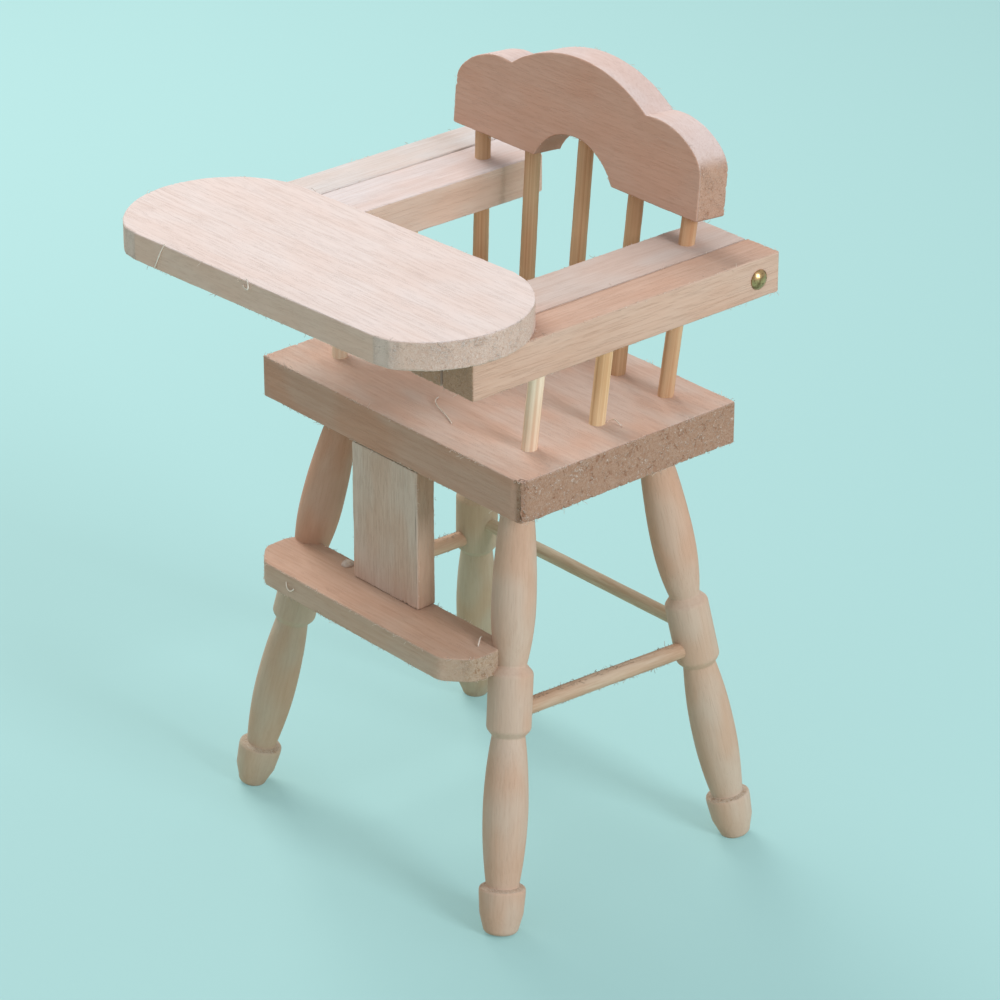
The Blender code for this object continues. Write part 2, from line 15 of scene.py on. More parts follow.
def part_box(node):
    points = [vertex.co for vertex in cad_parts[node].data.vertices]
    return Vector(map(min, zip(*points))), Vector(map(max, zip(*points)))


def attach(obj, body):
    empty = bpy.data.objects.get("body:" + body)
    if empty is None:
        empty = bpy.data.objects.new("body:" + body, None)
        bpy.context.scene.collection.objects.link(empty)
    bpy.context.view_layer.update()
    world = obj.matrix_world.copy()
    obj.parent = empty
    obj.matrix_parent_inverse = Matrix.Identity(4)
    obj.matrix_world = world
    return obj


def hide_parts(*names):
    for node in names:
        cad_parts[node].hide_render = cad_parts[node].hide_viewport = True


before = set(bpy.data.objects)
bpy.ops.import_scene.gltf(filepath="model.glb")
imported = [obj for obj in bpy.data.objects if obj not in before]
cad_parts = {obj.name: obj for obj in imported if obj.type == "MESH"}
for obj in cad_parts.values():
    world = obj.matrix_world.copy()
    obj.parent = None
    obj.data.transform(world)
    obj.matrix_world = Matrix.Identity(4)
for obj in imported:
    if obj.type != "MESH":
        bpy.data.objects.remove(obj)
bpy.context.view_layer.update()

MM = 0.001


def in_mm(lengths):
    return [round(length / MM, 1) for length in lengths]


# %% [markdown]
# ## Sums that become nodes
# A material or a geometry tree is easier to read as a formula than as a list of links. A small class wraps a
# socket, so that a sum written in Python adds its Math nodes.


# %% A wrapper for sockets
class Number:
    """A socket inside a node tree. Sums with it add Math nodes."""

    def __init__(self, maker, socket):
        self.maker = maker
        self.socket = socket

    def __add__(self, other):
        return self.maker.math("ADD", self, other)

    def __sub__(self, other):
        return self.maker.math("SUBTRACT", self, other)

    def __rsub__(self, other):
        return self.maker.math("SUBTRACT", other, self)

    def __mul__(self, other):
        return self.maker.math("MULTIPLY", self, other)

    def __truediv__(self, other):
        return self.maker.math("DIVIDE", self, other)

    __radd__ = __add__
    __rmul__ = __mul__

    def between(self, low, high, start=0.0, end=1.0):
        """Maps low..high smoothly to start..end, and holds the ends."""
        settings = {"data_type": "FLOAT", "interpolation_type": "SMOOTHSTEP"}
        sockets = {"Value": self, "From Min": low, "From Max": high, "To Min": start, "To Max": end}
        return self.maker.number("ShaderNodeMapRange", settings, sockets)


print("sums ready")

# %% [markdown]
# Any other node comes from one method of a second class, which takes the node's type, its settings and what
# its sockets get. A few short methods stand on it for the nodes that come up all the time: a noise, a mix of
# colours, a vector taken apart or put together.


# %% A maker of nodes
class Maker:
    """Adds nodes to one tree, shader or geometry."""

    def __init__(self, tree):
        self.tree = tree

    def feed(self, node, sockets):
        """Gives a node's sockets values or links. A key is a socket's index, identifier or name."""
        for key, value in sockets.items():
            found = [socket for socket in node.inputs if socket.identifier == key]
            target = found[0] if found else node.inputs[key]
            if isinstance(value, Number):
                value = value.socket
            if isinstance(value, bpy.types.NodeSocket):
                self.tree.links.new(value, target)
            else:
                target.default_value = value

    def node(self, kind, settings=None, sockets=None):
        """One node: its settings first, then the values or links of its sockets."""
        made = self.tree.nodes.new(kind)
        for name, value in (settings or {}).items():
            setattr(made, name, value)
        self.feed(made, sockets or {})
        return made

    def out(self, kind, settings=None, sockets=None, output=0):
        return self.node(kind, settings, sockets).outputs[output]

    def number(self, kind, settings=None, sockets=None, output=0):
        return Number(self, self.out(kind, settings, sockets, output))

    def math(self, operation, *values):
        return self.number("ShaderNodeMath", {"operation": operation}, dict(enumerate(values)))

    def vector(self, operation, *values):
        return self.out("ShaderNodeVectorMath", {"operation": operation}, dict(enumerate(values)))

    def scaled(self, vector, amount):
        settings = {"operation": "SCALE"}
        return self.out("ShaderNodeVectorMath", settings, {0: vector, "Scale": amount})

    def combined(self, *parts):
        return self.out("ShaderNodeCombineXYZ", None, dict(enumerate(parts)))

    def parts(self, vector):
        """The three numbers of a vector."""
        split = self.node("ShaderNodeSeparateXYZ", None, {0: vector})
        return [Number(self, output) for output in split.outputs]

    def noise(self, place, scale=1.0, detail=2.0, rough=0.5, twist=0.0):
        sockets = {
            "Vector": place, "Scale": scale, "Detail": detail, "Roughness": rough, "Distortion": twist
        }
        return self.number("ShaderNodeTexNoise", None, sockets)

    def mixed(self, share, first, second, way="MIX"):
        """A colour between two colours, or their product."""
        first, second = [(*c, 1.0) if isinstance(c, tuple) else c for c in (first, second)]
        settings = {"data_type": "RGBA", "blend_type": way}
        sockets = {"Factor_Float": share, "A_Color": first, "B_Color": second}
        return self.out("ShaderNodeMix", settings, sockets, 2)


print("nodes ready")

# %% [markdown]
# ## Bare wood
# The chair is pale, close-grained wood with nothing on it. Three things make it read as wood at this size:
# fine dark pores drawn out along the grain, soft bands of pinker and paler growth, and end grain, which is
# darker, rougher and speckled. An image could show one board, but a rule in space cuts through every board
# the way real grain does, so the faces of one piece agree at their edges. The grain runs along one axis.

# %% Helpers for wood
GRAIN_ATTRIBUTE = "grain"
CUT_ATTRIBUTE = "cut"
EDGE_ATTRIBUTE = "edge"
TORN_ATTRIBUTE = "torn"
AXES = {"X": (1, 0, 0), "Y": (0, 1, 0), "Z": (0, 0, 1)}
GRAIN_ORDERS = {"X": (0, 1, 2), "Y": (1, 0, 2), "Z": (2, 0, 1)}
DOWN = (0, 0, -1)


def new_material(name):
    material = bpy.data.materials.new(name)
    material.use_nodes = True
    maker = Maker(material.node_tree)
    return material, maker, material.node_tree.nodes["Principled BSDF"]


def own_place(maker):
    """Where a point lies in the piece's own coordinates."""
    return maker.out("ShaderNodeTexCoord", None, None, 3)


def read(maker, attribute, output=2):
    """An attribute of the mesh: output 2 is a number and output 1 a vector."""
    return maker.number("ShaderNodeAttribute", {"attribute_name": attribute}, None, output)


def facing(maker, way):
    """How squarely the surface faces a way, from -1 to 1."""
    normal = maker.out("ShaderNodeTexCoord", None, None, 1)
    return maker.number("ShaderNodeVectorMath", {"operation": "DOT_PRODUCT"}, {0: normal, 1: way}, 1)


def turned_to(maker, axis):
    """How squarely the surface faces along one axis, either way."""
    return maker.math("ABSOLUTE", facing(maker, AXES[axis]))


def grain_places(maker, axis, shift):
    """(along, across, across) at a point, in metres. Round stock carries its places in an attribute."""
    if axis == "ROUND":
        return maker.parts(read(maker, GRAIN_ATTRIBUTE, 1))
    in_plank = maker.out("ShaderNodeMapping", None, {"Vector": own_place(maker), "Location": shift})
    parts = maker.parts(in_plank)
    return [parts[index] for index in GRAIN_ORDERS[axis]]


print("wood helpers ready")

# %% [markdown]
# The same rule serves every piece, with its own tone and its own place in the plank. Pores darken a little,
# bands shift the tone, and a slow flush runs between pink and straw. A board's sawn edges may have a tone of
# their own, partly their colour and partly painted light and shade for how those faces are lit. Where the
# surface turns towards the end of the grain, the cut fibres take over: rougher, pitted and flecked. Torn
# corners are painted paler, partly as torn fibres and partly as painted light, and what faces down may get
# painted shade. The broken edges are rubbed paler.

# %% The wood material
PORE_LENGTH = 2.4 * MM
PORE_WIDTH = 0.12 * MM
STREAK_LENGTH = 9 * MM
STREAK_WIDTH = 0.34 * MM
BAND_LENGTH = 38 * MM
BAND_WIDTH = 2.6 * MM
BLOTCH_LENGTH = 9 * MM
BLOTCH_WIDTH = 5 * MM
CUT_SPECK = 0.22 * MM
CUT_PIT = 0.45 * MM
CUT_CLUMP = 1.6 * MM
FLUSH_LENGTH = 8 * MM
FLUSH_WIDTH = 4 * MM
BUMP_HEIGHT = 0.10 * MM
REDDENING = (0.5, 0.8, 1.0)
FLUSH = (1.0, 0.86, 0.78)
BLUSH_LOW = 22 * MM
BLUSH_HIGH = 38 * MM


def toned(colour, amount):
    """The colour made paler or, with a negative amount, deeper and redder."""
    return tuple(min(1.0, part * (1 + amount * weight)) for part, weight in zip(colour, REDDENING))


def wood(name, base, cut, axis, shift=(0, 0, 0), contrast=0.09, pores=0.14, run=1.0, cut_start=0.5,
         flush=0.5, side_tone_and_painted_light=None, broad="Z", hollows=0.6, flecks=0.75, coarse=1.0, underside_painted_shade=0.0, splinter_paleness_and_painted_light=0.0,
         blush=None):
    """Bare wood of one base tone. Cut is the tone of its end grain, shift its place in the plank in metres,
    and contrast how strong its bands are. Run draws its pores and streaks out. The side tone is that of long
    sawn edges, which turn away from the axis broad; it is partly their own colour and partly painted light
    and shade for how those faces are lit. Hollows and flecks are the strengths of the dark pits and pale
    fibres of the end grain, coarse their size. The underside strength is how much painted shade darkens what
    faces down, the splinter strength how much paler torn corners are painted, partly as torn fibres and
    partly as painted light, and blush the two tones by which a leg is colder at its foot and redder at
    its top."""
    material, maker, shader = new_material(name)
    places = grain_places(maker, axis, shift)
    mixed = maker.mixed

    def grain(along, across, *finish):
        far, wide, deep = places
        return maker.noise(maker.combined(far / along, wide / across, deep / across), 1.0, *finish)

    streak = grain(run * STREAK_LENGTH, STREAK_WIDTH, 3.0, 0.6)
    band = grain(run * BAND_LENGTH, BAND_WIDTH)
    blotch = grain(BLOTCH_LENGTH, BLOTCH_WIDTH)
    pore = grain(run * PORE_LENGTH, PORE_WIDTH, 2.0, 0.55).between(0.53, 0.66)
    tone = (0.45 * streak + 0.3 * band + 0.25 * blotch).between(0.36, 0.64)
    face = mixed(tone, toned(base, contrast), toned(base, -contrast))
    # Long sawn faces take the side tone: partly their own colour, partly painted light and shade for how they
    # are lit.
    if side_tone_and_painted_light is not None:
        edgewise = turned_to(maker, broad).between(0.75, 0.45)
        face = mixed(edgewise, face, mixed(tone, toned(side_tone_and_painted_light, contrast), toned(side_tone_and_painted_light, -contrast)))
    ruddy = grain(FLUSH_LENGTH, FLUSH_WIDTH, 1.0).between(0.35, 0.65)
    face = mixed(flush * ruddy, face, FLUSH, "MULTIPLY")
    face = mixed(pores * pore, face, toned(base, -0.6))

    speck = grain(coarse * CUT_SPECK, coarse * CUT_SPECK, 3.0, 0.65, 1.6)
    pit = grain(coarse * CUT_PIT, coarse * CUT_PIT, 2.0, 0.6, 0.8)
    clump = grain(CUT_CLUMP, CUT_CLUMP, 3.0, 0.6)
    hollow = (0.75 * pit + 0.25 * clump).between(0.57, 0.66)
    raised = (0.7 * speck + 0.3 * clump).between(0.56, 0.63)
    end = mixed(speck.between(0.38, 0.62), toned(cut, -0.24), toned(cut, 0.2))
    end = mixed(hollows * hollow, end, toned(cut, -0.7))
    end = mixed(flecks * raised, end, toned(base, 0.2))

    if axis == "ROUND":
        across = read(maker, CUT_ATTRIBUTE)
    else:
        torn = read(maker, TORN_ATTRIBUTE)
        across = turned_to(maker, axis) + torn
        # Torn corners are painted paler: partly torn fibres, partly painted light on a facet that faces away
        # from the lamps.
        end = mixed(splinter_paleness_and_painted_light * torn, end, toned(cut, 0.4))
    is_cut = across.between(cut_start, cut_start + 0.3)
    colour = mixed(is_cut, face, end)
    if blush is not None:
        upper = maker.parts(own_place(maker))[2].between(BLUSH_LOW, BLUSH_HIGH)
        colour = mixed(1 - upper, colour, blush[0], "MULTIPLY")
        colour = mixed(upper, colour, blush[1], "MULTIPLY")
    # Painted shade: what faces down is darkened towards the deep end-grain tone.
    if underside_painted_shade:
        below = facing(maker, DOWN).between(0.2, 0.7)
        colour = mixed(underside_painted_shade * below, colour, toned(cut, -0.45))
    rubbed = read(maker, EDGE_ATTRIBUTE) * blotch.between(0.4, 0.6, 0.05, 0.35)
    colour = mixed(rubbed, colour, toned(base, 0.18))

    relief = (1 - is_cut) * (0.3 * streak - 2 * pores * pore) + is_cut * (1.2 * speck + 0.8 * raised - hollow)
    bump = maker.out("ShaderNodeBump", None, {"Height": relief, "Distance": BUMP_HEIGHT, "Strength": 0.7})
    maker.feed(shader, {
        "Base Color": colour,
        "Roughness": 0.62 + 0.12 * streak + 0.2 * is_cut,
        "Normal": bump,
        "Specular IOR Level": 0.3,
    })
    return material


print("wood can be made")

# %% [markdown]
# Each board was cut from another plank, so each has its own tone, and so has each row of dowels. Some
# tones also hold painted light and shade: the right-hand arm and tray arm are painted darker for the crest
# rail's shadow, the rows of dowels are set apart partly by how each is lit, and the legs, which share one
# base tone, are tinted for each blank and for their light, the rear left one darker as painted shade. Every
# wood is one call, which names only what sets that piece apart: its tones, its place in the plank, and how
# its ends were sawn.

# %% Wood for every piece
RUDDY_CUT = (0.53, 0.333, 0.233)

TRAY_WOOD = wood(
    "tray_wood", (0.80, 0.67, 0.62), (0.69, 0.51, 0.425), "X", (0.011, 0.003, 0.0), 0.05, 0.14, 1.8,
    flush=0.25, side_tone_and_painted_light=(0.805, 0.592, 0.488), hollows=0.2, flecks=0.6, splinter_paleness_and_painted_light=0.8,
)
SEAT_WOOD = wood(
    "seat_wood", (0.684, 0.51, 0.423), (0.43, 0.26, 0.182), "X", (0.071, 0.013, 0.02), contrast=0.1,
    flush=0.8, side_tone_and_painted_light=(0.578, 0.362, 0.272), flecks=0.7, coarse=1.7,
)
CREST_WOOD = wood(
    "crest_wood", (0.685, 0.42, 0.315), (0.55, 0.336, 0.245), "X", (0.131, 0.043, 0.05), contrast=0.08,
    cut_start=0.7, flush=0.35, side_tone_and_painted_light=(0.76, 0.60, 0.555), broad="Y", hollows=0.4, flecks=0.45, underside_painted_shade=0.9,
)
# The right-hand arm and tray arm are darker partly as painted shade, where the crest rail's shadow falls.
ARM_WOODS_WITH_PAINTED_SHADE = {
    "left": wood(
        "left_arm_wood", (0.755, 0.655, 0.63), (0.46, 0.33, 0.22), "Y", (0.017, 0.09, 0.08), run=1.6,
        side_tone_and_painted_light=(0.70, 0.535, 0.435),
    ),
    "right": wood("right_arm_shaded_wood", (0.625, 0.505, 0.448), RUDDY_CUT, "Y", (0.047, 0.29, 0.08), run=1.6),
}
TRAY_ARM_WOODS_WITH_PAINTED_SHADE = {
    "left": wood("left_tray_arm_wood", (0.722, 0.66, 0.63), RUDDY_CUT, "Y", (0.053, 0.39, 0.11), run=1.6),
    "right": wood(
        "right_tray_arm_shaded_wood", (0.605, 0.39, 0.29), RUDDY_CUT, "Y", (0.033, 0.19, 0.11), 0.11, 0.18,
        1.6, flush=0.3, side_tone_and_painted_light=(0.64, 0.432, 0.33),
    ),
}
FOOTREST_WOOD = wood(
    "footrest_wood", (0.59, 0.40, 0.298), (0.50, 0.36, 0.26), "X", (0.19, 0.023, 0.09), contrast=0.1,
    side_tone_and_painted_light=(0.60, 0.44, 0.342), flecks=0.8, coarse=1.3,
)
PANEL_WOOD = wood(
    "panel_wood", (0.68, 0.52, 0.43), (0.42, 0.32, 0.22), "Z", (0.023, 0.023, 0.17), 0.12, 0.2,
    side_tone_and_painted_light=(0.55, 0.375, 0.275), broad="Y",
)
LEG_BASE = (0.598, 0.439, 0.332)
LEG_CUT = (0.60, 0.45, 0.34)
LEG_BLUSH = ((0.96, 1.0, 1.0), (1.0, 0.93, 0.90))
STRONG_BLUSH = ((0.93, 1.0, 1.0), (1.0, 0.86, 0.85))
# Each leg's tint is partly its blank's and partly painted light and shade; the rear left leg is darker as
# painted shade.
LEG_TINTS_AND_PAINTED_SHADE = {
    "front_left_leg": ((1.02, 1.05, 1.05), STRONG_BLUSH),
    "front_right_leg": ((1.05, 1.06, 1.09), None),
    "rear_left_leg": ((0.87, 0.985, 0.95), None),
    "rear_right_leg": ((1.06, 1.09, 1.13), LEG_BLUSH),
}
LEG_WOODS = {
    leg: wood(
        leg + "_wood", tuple(part * tint for part, tint in zip(LEG_BASE, tints)), LEG_CUT, "ROUND",
        contrast=0.06, pores=0.1, run=0.9, cut_start=0.6, flush=0.9, blush=blush,
    )
    for leg, (tints, blush) in LEG_TINTS_AND_PAINTED_SHADE.items()
}
# Each row's tone is partly its own and partly painted light and shade for how it is lit; the side and rear
# stretchers are one wood in two tones.
DOWEL_TONES_AND_PAINTED_LIGHT = {
    "side_stretcher": (0.545, 0.385, 0.27),
    "rear_stretcher": (0.575, 0.49, 0.355),
    "back_spindle": (0.63, 0.40, 0.234),
    "front_spindle": (0.89, 0.68, 0.51),
    "middle_spindle": (0.80, 0.58, 0.345),
}
STRETCHER_FINISH = {"cut": (0.5, 0.4, 0.3), "contrast": 0.24, "run": 0.5}
SPINDLE_FINISH = {"cut": (0.55, 0.4, 0.25), "contrast": 0.35, "run": 8.0}
DOWEL_WOODS = {}
for row, base in DOWEL_TONES_AND_PAINTED_LIGHT.items():
    finish = STRETCHER_FINISH if "stretcher" in row else SPINDLE_FINISH
    DOWEL_WOODS[row] = wood(row + "_wood", base, axis="ROUND", pores=0.0, **finish)
print("wood materials:", [m.name for m in bpy.data.materials if m.name.endswith("_wood")])

# %% [markdown]
# ## Brass for the two pins, and dried glue
# The tray swings on two small round-headed brass nails. Their heads are stamped, so the metal has faint dents
# and a patchy shine rather than a mirror polish. A drop of white wood glue has dried to a dull skin. Such
# small pieces show no second pattern, so one fine noise varies each.

# %% Brass and glue
SPOTS_PER_METRE = 1800.0
SPOT_DETAIL = 3.0
DENT_DEPTH = 0.05 * MM


def brass(name):
    material, maker, shader = new_material(name)
    dents = maker.noise(own_place(maker), SPOTS_PER_METRE, SPOT_DETAIL)
    tarnish = dents.between(0.4, 0.65)
    bump = maker.out("ShaderNodeBump", None, {"Height": dents, "Distance": DENT_DEPTH, "Strength": 0.25})
    maker.feed(shader, {
        "Base Color": maker.mixed(tarnish, (0.64, 0.42, 0.20), (0.27, 0.17, 0.08)),
        "Roughness": 0.26 + 0.2 * tarnish,
        "Normal": bump,
        "Metallic": 1.0,
    })
    return material


def glue(name):
    material, maker, shader = new_material(name)
    skin = maker.noise(own_place(maker), SPOTS_PER_METRE, SPOT_DETAIL)
    colour = maker.mixed(skin.between(0.35, 0.65), (0.76, 0.66, 0.58), (0.60, 0.49, 0.41))
    maker.feed(shader, {"Base Color": colour, "Roughness": 0.35 + 0.25 * skin})
    return material


PIN_BRASS = brass("pin_brass")
DRIED_GLUE = glue("dried_glue")
print("brass and glue ready")

# %% [markdown]
# ## Boards with broken edges
# Every flat piece is a board: an outline cut from thin stock, its edges rubbed over once with sandpaper. A
# bevel modifier would give all edges the same machine-made width. Here the board is built ring by ring
# instead, and each place along the outline gets its own edge radius from a noise, so the light on the edges
# comes and goes.

# %% Outline helpers
CORNER_ROUNDING = 0.24 * MM
OUTLINE_STEP = 0.22 * MM
CORNER_STEPS = 4
SHARP_TURN = math.radians(25)
MITRE_LIMIT = 0.3


def rectangle(low_x, low_y, high_x, high_y):
    return [Vector(p) for p in ((low_x, low_y), (high_x, low_y), (high_x, high_y), (low_x, high_y))]


def turn_at(before, here, after):
    """The signed angle by which an outline turns at a point."""
    first, second = here - before, after - here
    return math.atan2(first.x * second.y - first.y * second.x, first.dot(second))


def softened(outline, rounding):
    """The outline with its outer corners rounded and points at even steps along its straight runs."""
    rounded = []
    count = len(outline)
    for index, here in enumerate(outline):
        before, after = outline[index - 1], outline[(index + 1) % count]
        turn = turn_at(before, here, after)
        if turn < SHARP_TURN:
            rounded.append(here.copy())
            continue
        way_in = (here - before).normalized()
        start = here - way_in * (rounding * math.tan(turn / 2))
        centre = start + Vector((-way_in.y, way_in.x)) * rounding
        radial = start - centre
        for step in range(CORNER_STEPS + 1):
            angle = turn * step / CORNER_STEPS
            cos, sin = math.cos(angle), math.sin(angle)
            spoke = Vector((radial.x * cos - radial.y * sin, radial.x * sin + radial.y * cos))
            rounded.append(centre + spoke)
    points = []
    for index, here in enumerate(rounded):
        after = rounded[(index + 1) % len(rounded)]
        pieces = max(1, round((after - here).length / OUTLINE_STEP))
        points += [here.lerp(after, step / pieces) for step in range(pieces)]
    return points


def outward(points):
    """The outward direction at each point, long enough to keep the walls' thickness at a corner."""
    ways = []
    for index, here in enumerate(points):
        first = (here - points[index - 1]).normalized()
        second = (points[(index + 1) % len(points)] - here).normalized()
        normals = Vector((first.y, -first.x)) + Vector((second.y, -second.x))
        ways.append(normals / max(MITRE_LIMIT, normals.length_squared / 2))
    return ways


print("outline helpers ready")

# %% [markdown]
# Each new mesh, object and finish goes through a helper. So every piece says in one place which body it rides
# on and which nodes of the frame it stands for.


# %% Helpers for pieces
def new_mesh(name, verts, edges, faces, attributes):
    """A mesh with a number for each point under each attribute's name."""
    mesh = bpy.data.meshes.new(name)
    mesh.from_pydata(verts, edges, faces)
    for attribute, values in attributes.items():
        mesh.attributes.new(attribute, "FLOAT", "POINT").data.foreach_set("value", values)
    return mesh


def in_scene(name, data):
    made = bpy.data.objects.new(name, data)
    bpy.context.scene.collection.objects.link(made)
    return made


def finished(piece, material, body, nodes):
    """Gives a piece its material, its body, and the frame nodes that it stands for."""
    piece.data.materials.clear()
    piece.data.materials.append(material)
    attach(piece, body)
    if nodes:
        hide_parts(*nodes)
    print(piece.name, "faces:", len(piece.data.polygons))
    return piece


print("piece helpers ready")

# %% [markdown]
# The board's rings go from the lower face, round the lower edge, up the wall and round the upper edge. A
# second ring close to each edge keeps the smooth shading of the rounding off the flat wall. The radius of an
# edge wanders with a noise, and the ends, which are cut across the grain, have nicks as well.

# %% The edges of a board
EDGE_ROUNDING = 0.17 * MM
EDGE_STEPS = 4
WALL_STEPS = 4
RING_COUNT = 2 * (EDGE_STEPS + 1) + (WALL_STEPS + 1) + 2
EDGE_MARGIN = 0.06 * MM
EDGE_WAVE = 2.2 * MM
EDGE_WEAR = 0.55
FINE_WAVE_TIMES = 4
FINE_WAVE_SHARE = 0.6
LEVEL_SALT = 7
NICK_WAVE = 0.45 * MM
NICK_START = 0.22
NICK_DEPTH_SHARE = 4.5
NICK_FALL = 4


def rings(radius_low, radius_high, thickness):
    """(inset, height, share of edge) of each ring of a board, from the lower face to the upper one."""
    angles = [math.pi / 2 * step / EDGE_STEPS for step in range(EDGE_STEPS + 1)]
    low, high = radius_low + EDGE_MARGIN, thickness - radius_high - EDGE_MARGIN
    found = [(radius_low + EDGE_MARGIN, 0.0, 0.0)]
    for angle in angles:
        inset, height = radius_low * (1 - math.sin(angle)), radius_low * (1 - math.cos(angle))
        found.append((inset, height, math.sin(2 * angle)))
    found += [(0.0, low + (high - low) * step / WALL_STEPS, 0.0) for step in range(WALL_STEPS + 1)]
    for angle in angles:
        inset, height = radius_high * (1 - math.cos(angle)), thickness - radius_high * (1 - math.sin(angle))
        found.append((inset, height, math.sin(2 * angle)))
    return found + [(radius_high + EDGE_MARGIN, thickness, 0.0)]


def edge_radius(point, level, seed, nicks):
    """How far one place of an edge is rounded. Ends, cut across the grain, also have nicks."""
    there = Vector((point.x, point.y, 0))
    salt = Vector((seed, 0, level * LEVEL_SALT))
    fine = noise.noise(FINE_WAVE_TIMES * there / EDGE_WAVE + salt)
    wave = noise.noise(there / EDGE_WAVE + salt) + FINE_WAVE_SHARE * fine
    nick = max(0.0, noise.noise(there / NICK_WAVE + salt) - NICK_START)
    return EDGE_ROUNDING * (1 + EDGE_WEAR * wave + NICK_DEPTH_SHARE * nick * nicks)


print("edges ready")

# %% [markdown]
# The board itself stacks its rings at each point of the outline and joins them to those of the next point.
# Each vertex also says how far it lies on a broken edge, for the material to rub it paler, and how badly its
# corner is torn. The rims are kept, because loose fibres grow along them later.

# %% The board
WALL_WAVE = 1.6 * MM
WALL_SWELL = 0.012 * MM
rims = {}


def board(name, outline, thickness, place, seed, grain="X", rounding=CORNER_ROUNDING, chips=(), ragged=1.0):
    """A board with its lower face on the XY plane of its place. Chips are (place, reach, depth) of corners
    that have splintered, and ragged is how badly the saw has torn its ends."""
    points = softened(outline, rounding)
    verts, edge_shares, torn_shares = [], [], []
    for point, way in zip(points, outward(points)):
        nicks = ragged * min(1.0, abs(way.x if grain == "X" else way.y)) ** NICK_FALL
        radii = [edge_radius(point, level, seed, nicks) for level in (0, 1)]
        for ring, (inset, height, share) in enumerate(rings(*radii, thickness)):
            there = Vector((point.x, point.y, height))
            swell = WALL_SWELL * noise.noise(there / WALL_WAVE + Vector((0, 0, seed)))
            torn = 0.0
            for corner, reach, depth in chips:
                near = math.exp(-((point - Vector(corner)).length / reach) ** 2)
                swell -= depth * near * max(0.0, 0.5 + noise.noise(there / NICK_WAVE))
                torn = max(torn, near)
            flat = point - way * (inset - swell)
            verts.append(place @ Vector((flat.x, flat.y, height)))
            edge_shares.append(share)
            torn_shares.append(torn if 0 < ring < RING_COUNT - 1 else 0.0)
    starts = [column * RING_COUNT for column in range(len(points))]
    faces = []
    for low, high in zip(starts, starts[1:] + starts[:1]):
        faces += [(low + r, high + r, high + r + 1, low + r + 1) for r in range(RING_COUNT - 1)]
    faces += [starts[::-1], [start + RING_COUNT - 1 for start in starts]]
    mesh = new_mesh(name, verts, [], faces, {EDGE_ATTRIBUTE: edge_shares, TORN_ATTRIBUTE: torn_shares})
    mesh.polygons.foreach_set("use_smooth", [True] * (len(faces) - 2) + [False, False])
    mesh.validate()
    heights = (EDGE_ROUNDING / 2, thickness - EDGE_ROUNDING / 2)
    rims[name] = [[place @ Vector((point.x, point.y, height)) for point in points] for height in heights]
    return in_scene(name, mesh)


def flat_board(name, node, seed, material, body="chair", outline=None, lift=0.0, drop=0.0,
               askew=Matrix.Identity(4), **finish):
    """A level board where a frame node is. Lift and drop close the film of glue above and below it, and
    askew is how far from its true place it was glued."""
    low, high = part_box(node)
    outline = outline or rectangle(low.x, low.y, high.x, high.y)
    place = askew @ Matrix.Translation((0, 0, low.z - drop))
    piece = board(name, outline, high.z - low.z + lift + drop, place, seed, **finish)
    return finished(piece, material, body, [node])


print("boards ready")

# %% [markdown]
# ## Seat, arms and tray arms
# These are plain rectangles, so their outlines come straight from the frame. The two pairs of arms lie side
# by side with a hair's breadth between them. The tray is glued on the outer pair, so the film of glue between
# them is shared out: half a film is added to the arm and half to the tray.

# %% Straight boards
GLUE_FILM = 0.3 * MM
CHIP_REACH = 1.0 * MM
CHIP_DEPTH = 0.8 * MM
SEAT_RAGGED = 2.2
LEFT_BAR_EXCESS = 0.26 * MM

seat_low, seat_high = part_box("seat")
seat_chips = [((seat_high.x, seat_low.y), CHIP_REACH, CHIP_DEPTH)]
flat_board("seat_board", "seat", 1, SEAT_WOOD, chips=seat_chips, ragged=SEAT_RAGGED)
for side, seed in (("left", 2), ("right", 3)):
    flat_board(side + "_arm_bar", side + "_fixed_arm", seed, ARM_WOODS_WITH_PAINTED_SHADE[side], grain="Y")
    low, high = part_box(side + "_tray_arm")
    right_edge = high.x + LEFT_BAR_EXCESS if side == "left" else high.x
    flat_board(
        side + "_tray_bar", side + "_tray_arm", seed + 2, TRAY_ARM_WOODS_WITH_PAINTED_SHADE[side], "tray_frame",
        rectangle(low.x, low.y, right_edge, high.y), lift=GLUE_FILM / 2, grain="Y",
    )

# %% [markdown]
# ## The tray
# The tray is one board with a straight front and back and two bowed ends. Each end is one arc of a circle
# whose centre lies inside the board, a little nearer the front, so the arc meets the front edge at a plain
# corner. The chair was glued by hand and by eye, and its tray sits a few degrees askew on the bars.

# %% Tray board
TRAY_END_RADIUS = 11.5 * MM
TRAY_END_CENTRE_SHARE = 0.477
TRAY_END_STEPS = 44
TRAY_TURN = math.radians(3.0)
TRAY_CORNER_LEAD = 1.4 * MM
TRAY_TEAR_REACH = 1.4 * MM
TRAY_TEAR_DEPTH = 0.04 * MM
tray_low, tray_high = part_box("tray")


def tray_outline():
    low, high = tray_low, tray_high
    centre = Vector((high.x - TRAY_END_RADIUS, low.y + (high.y - low.y) * TRAY_END_CENTRE_SHARE))
    first = -math.asin(min(1.0, (centre.y - low.y) / TRAY_END_RADIUS))
    last = math.asin(min(1.0, (high.y - centre.y) / TRAY_END_RADIUS))
    end = []
    for step in range(TRAY_END_STEPS + 1):
        angle = first + (last - first) * step / TRAY_END_STEPS
        end.append(centre + TRAY_END_RADIUS * Vector((math.cos(angle), math.sin(angle))))
    end[0].x -= TRAY_CORNER_LEAD
    return end + [Vector((-p.x, p.y)) for p in reversed(end)]


def turned_about(point, angle):
    """A turn about an upright line through a point."""
    middle = Vector((point.x, point.y, 0))
    return Matrix.Translation(middle) @ Matrix.Rotation(angle, 4, "Z") @ Matrix.Translation(-middle)


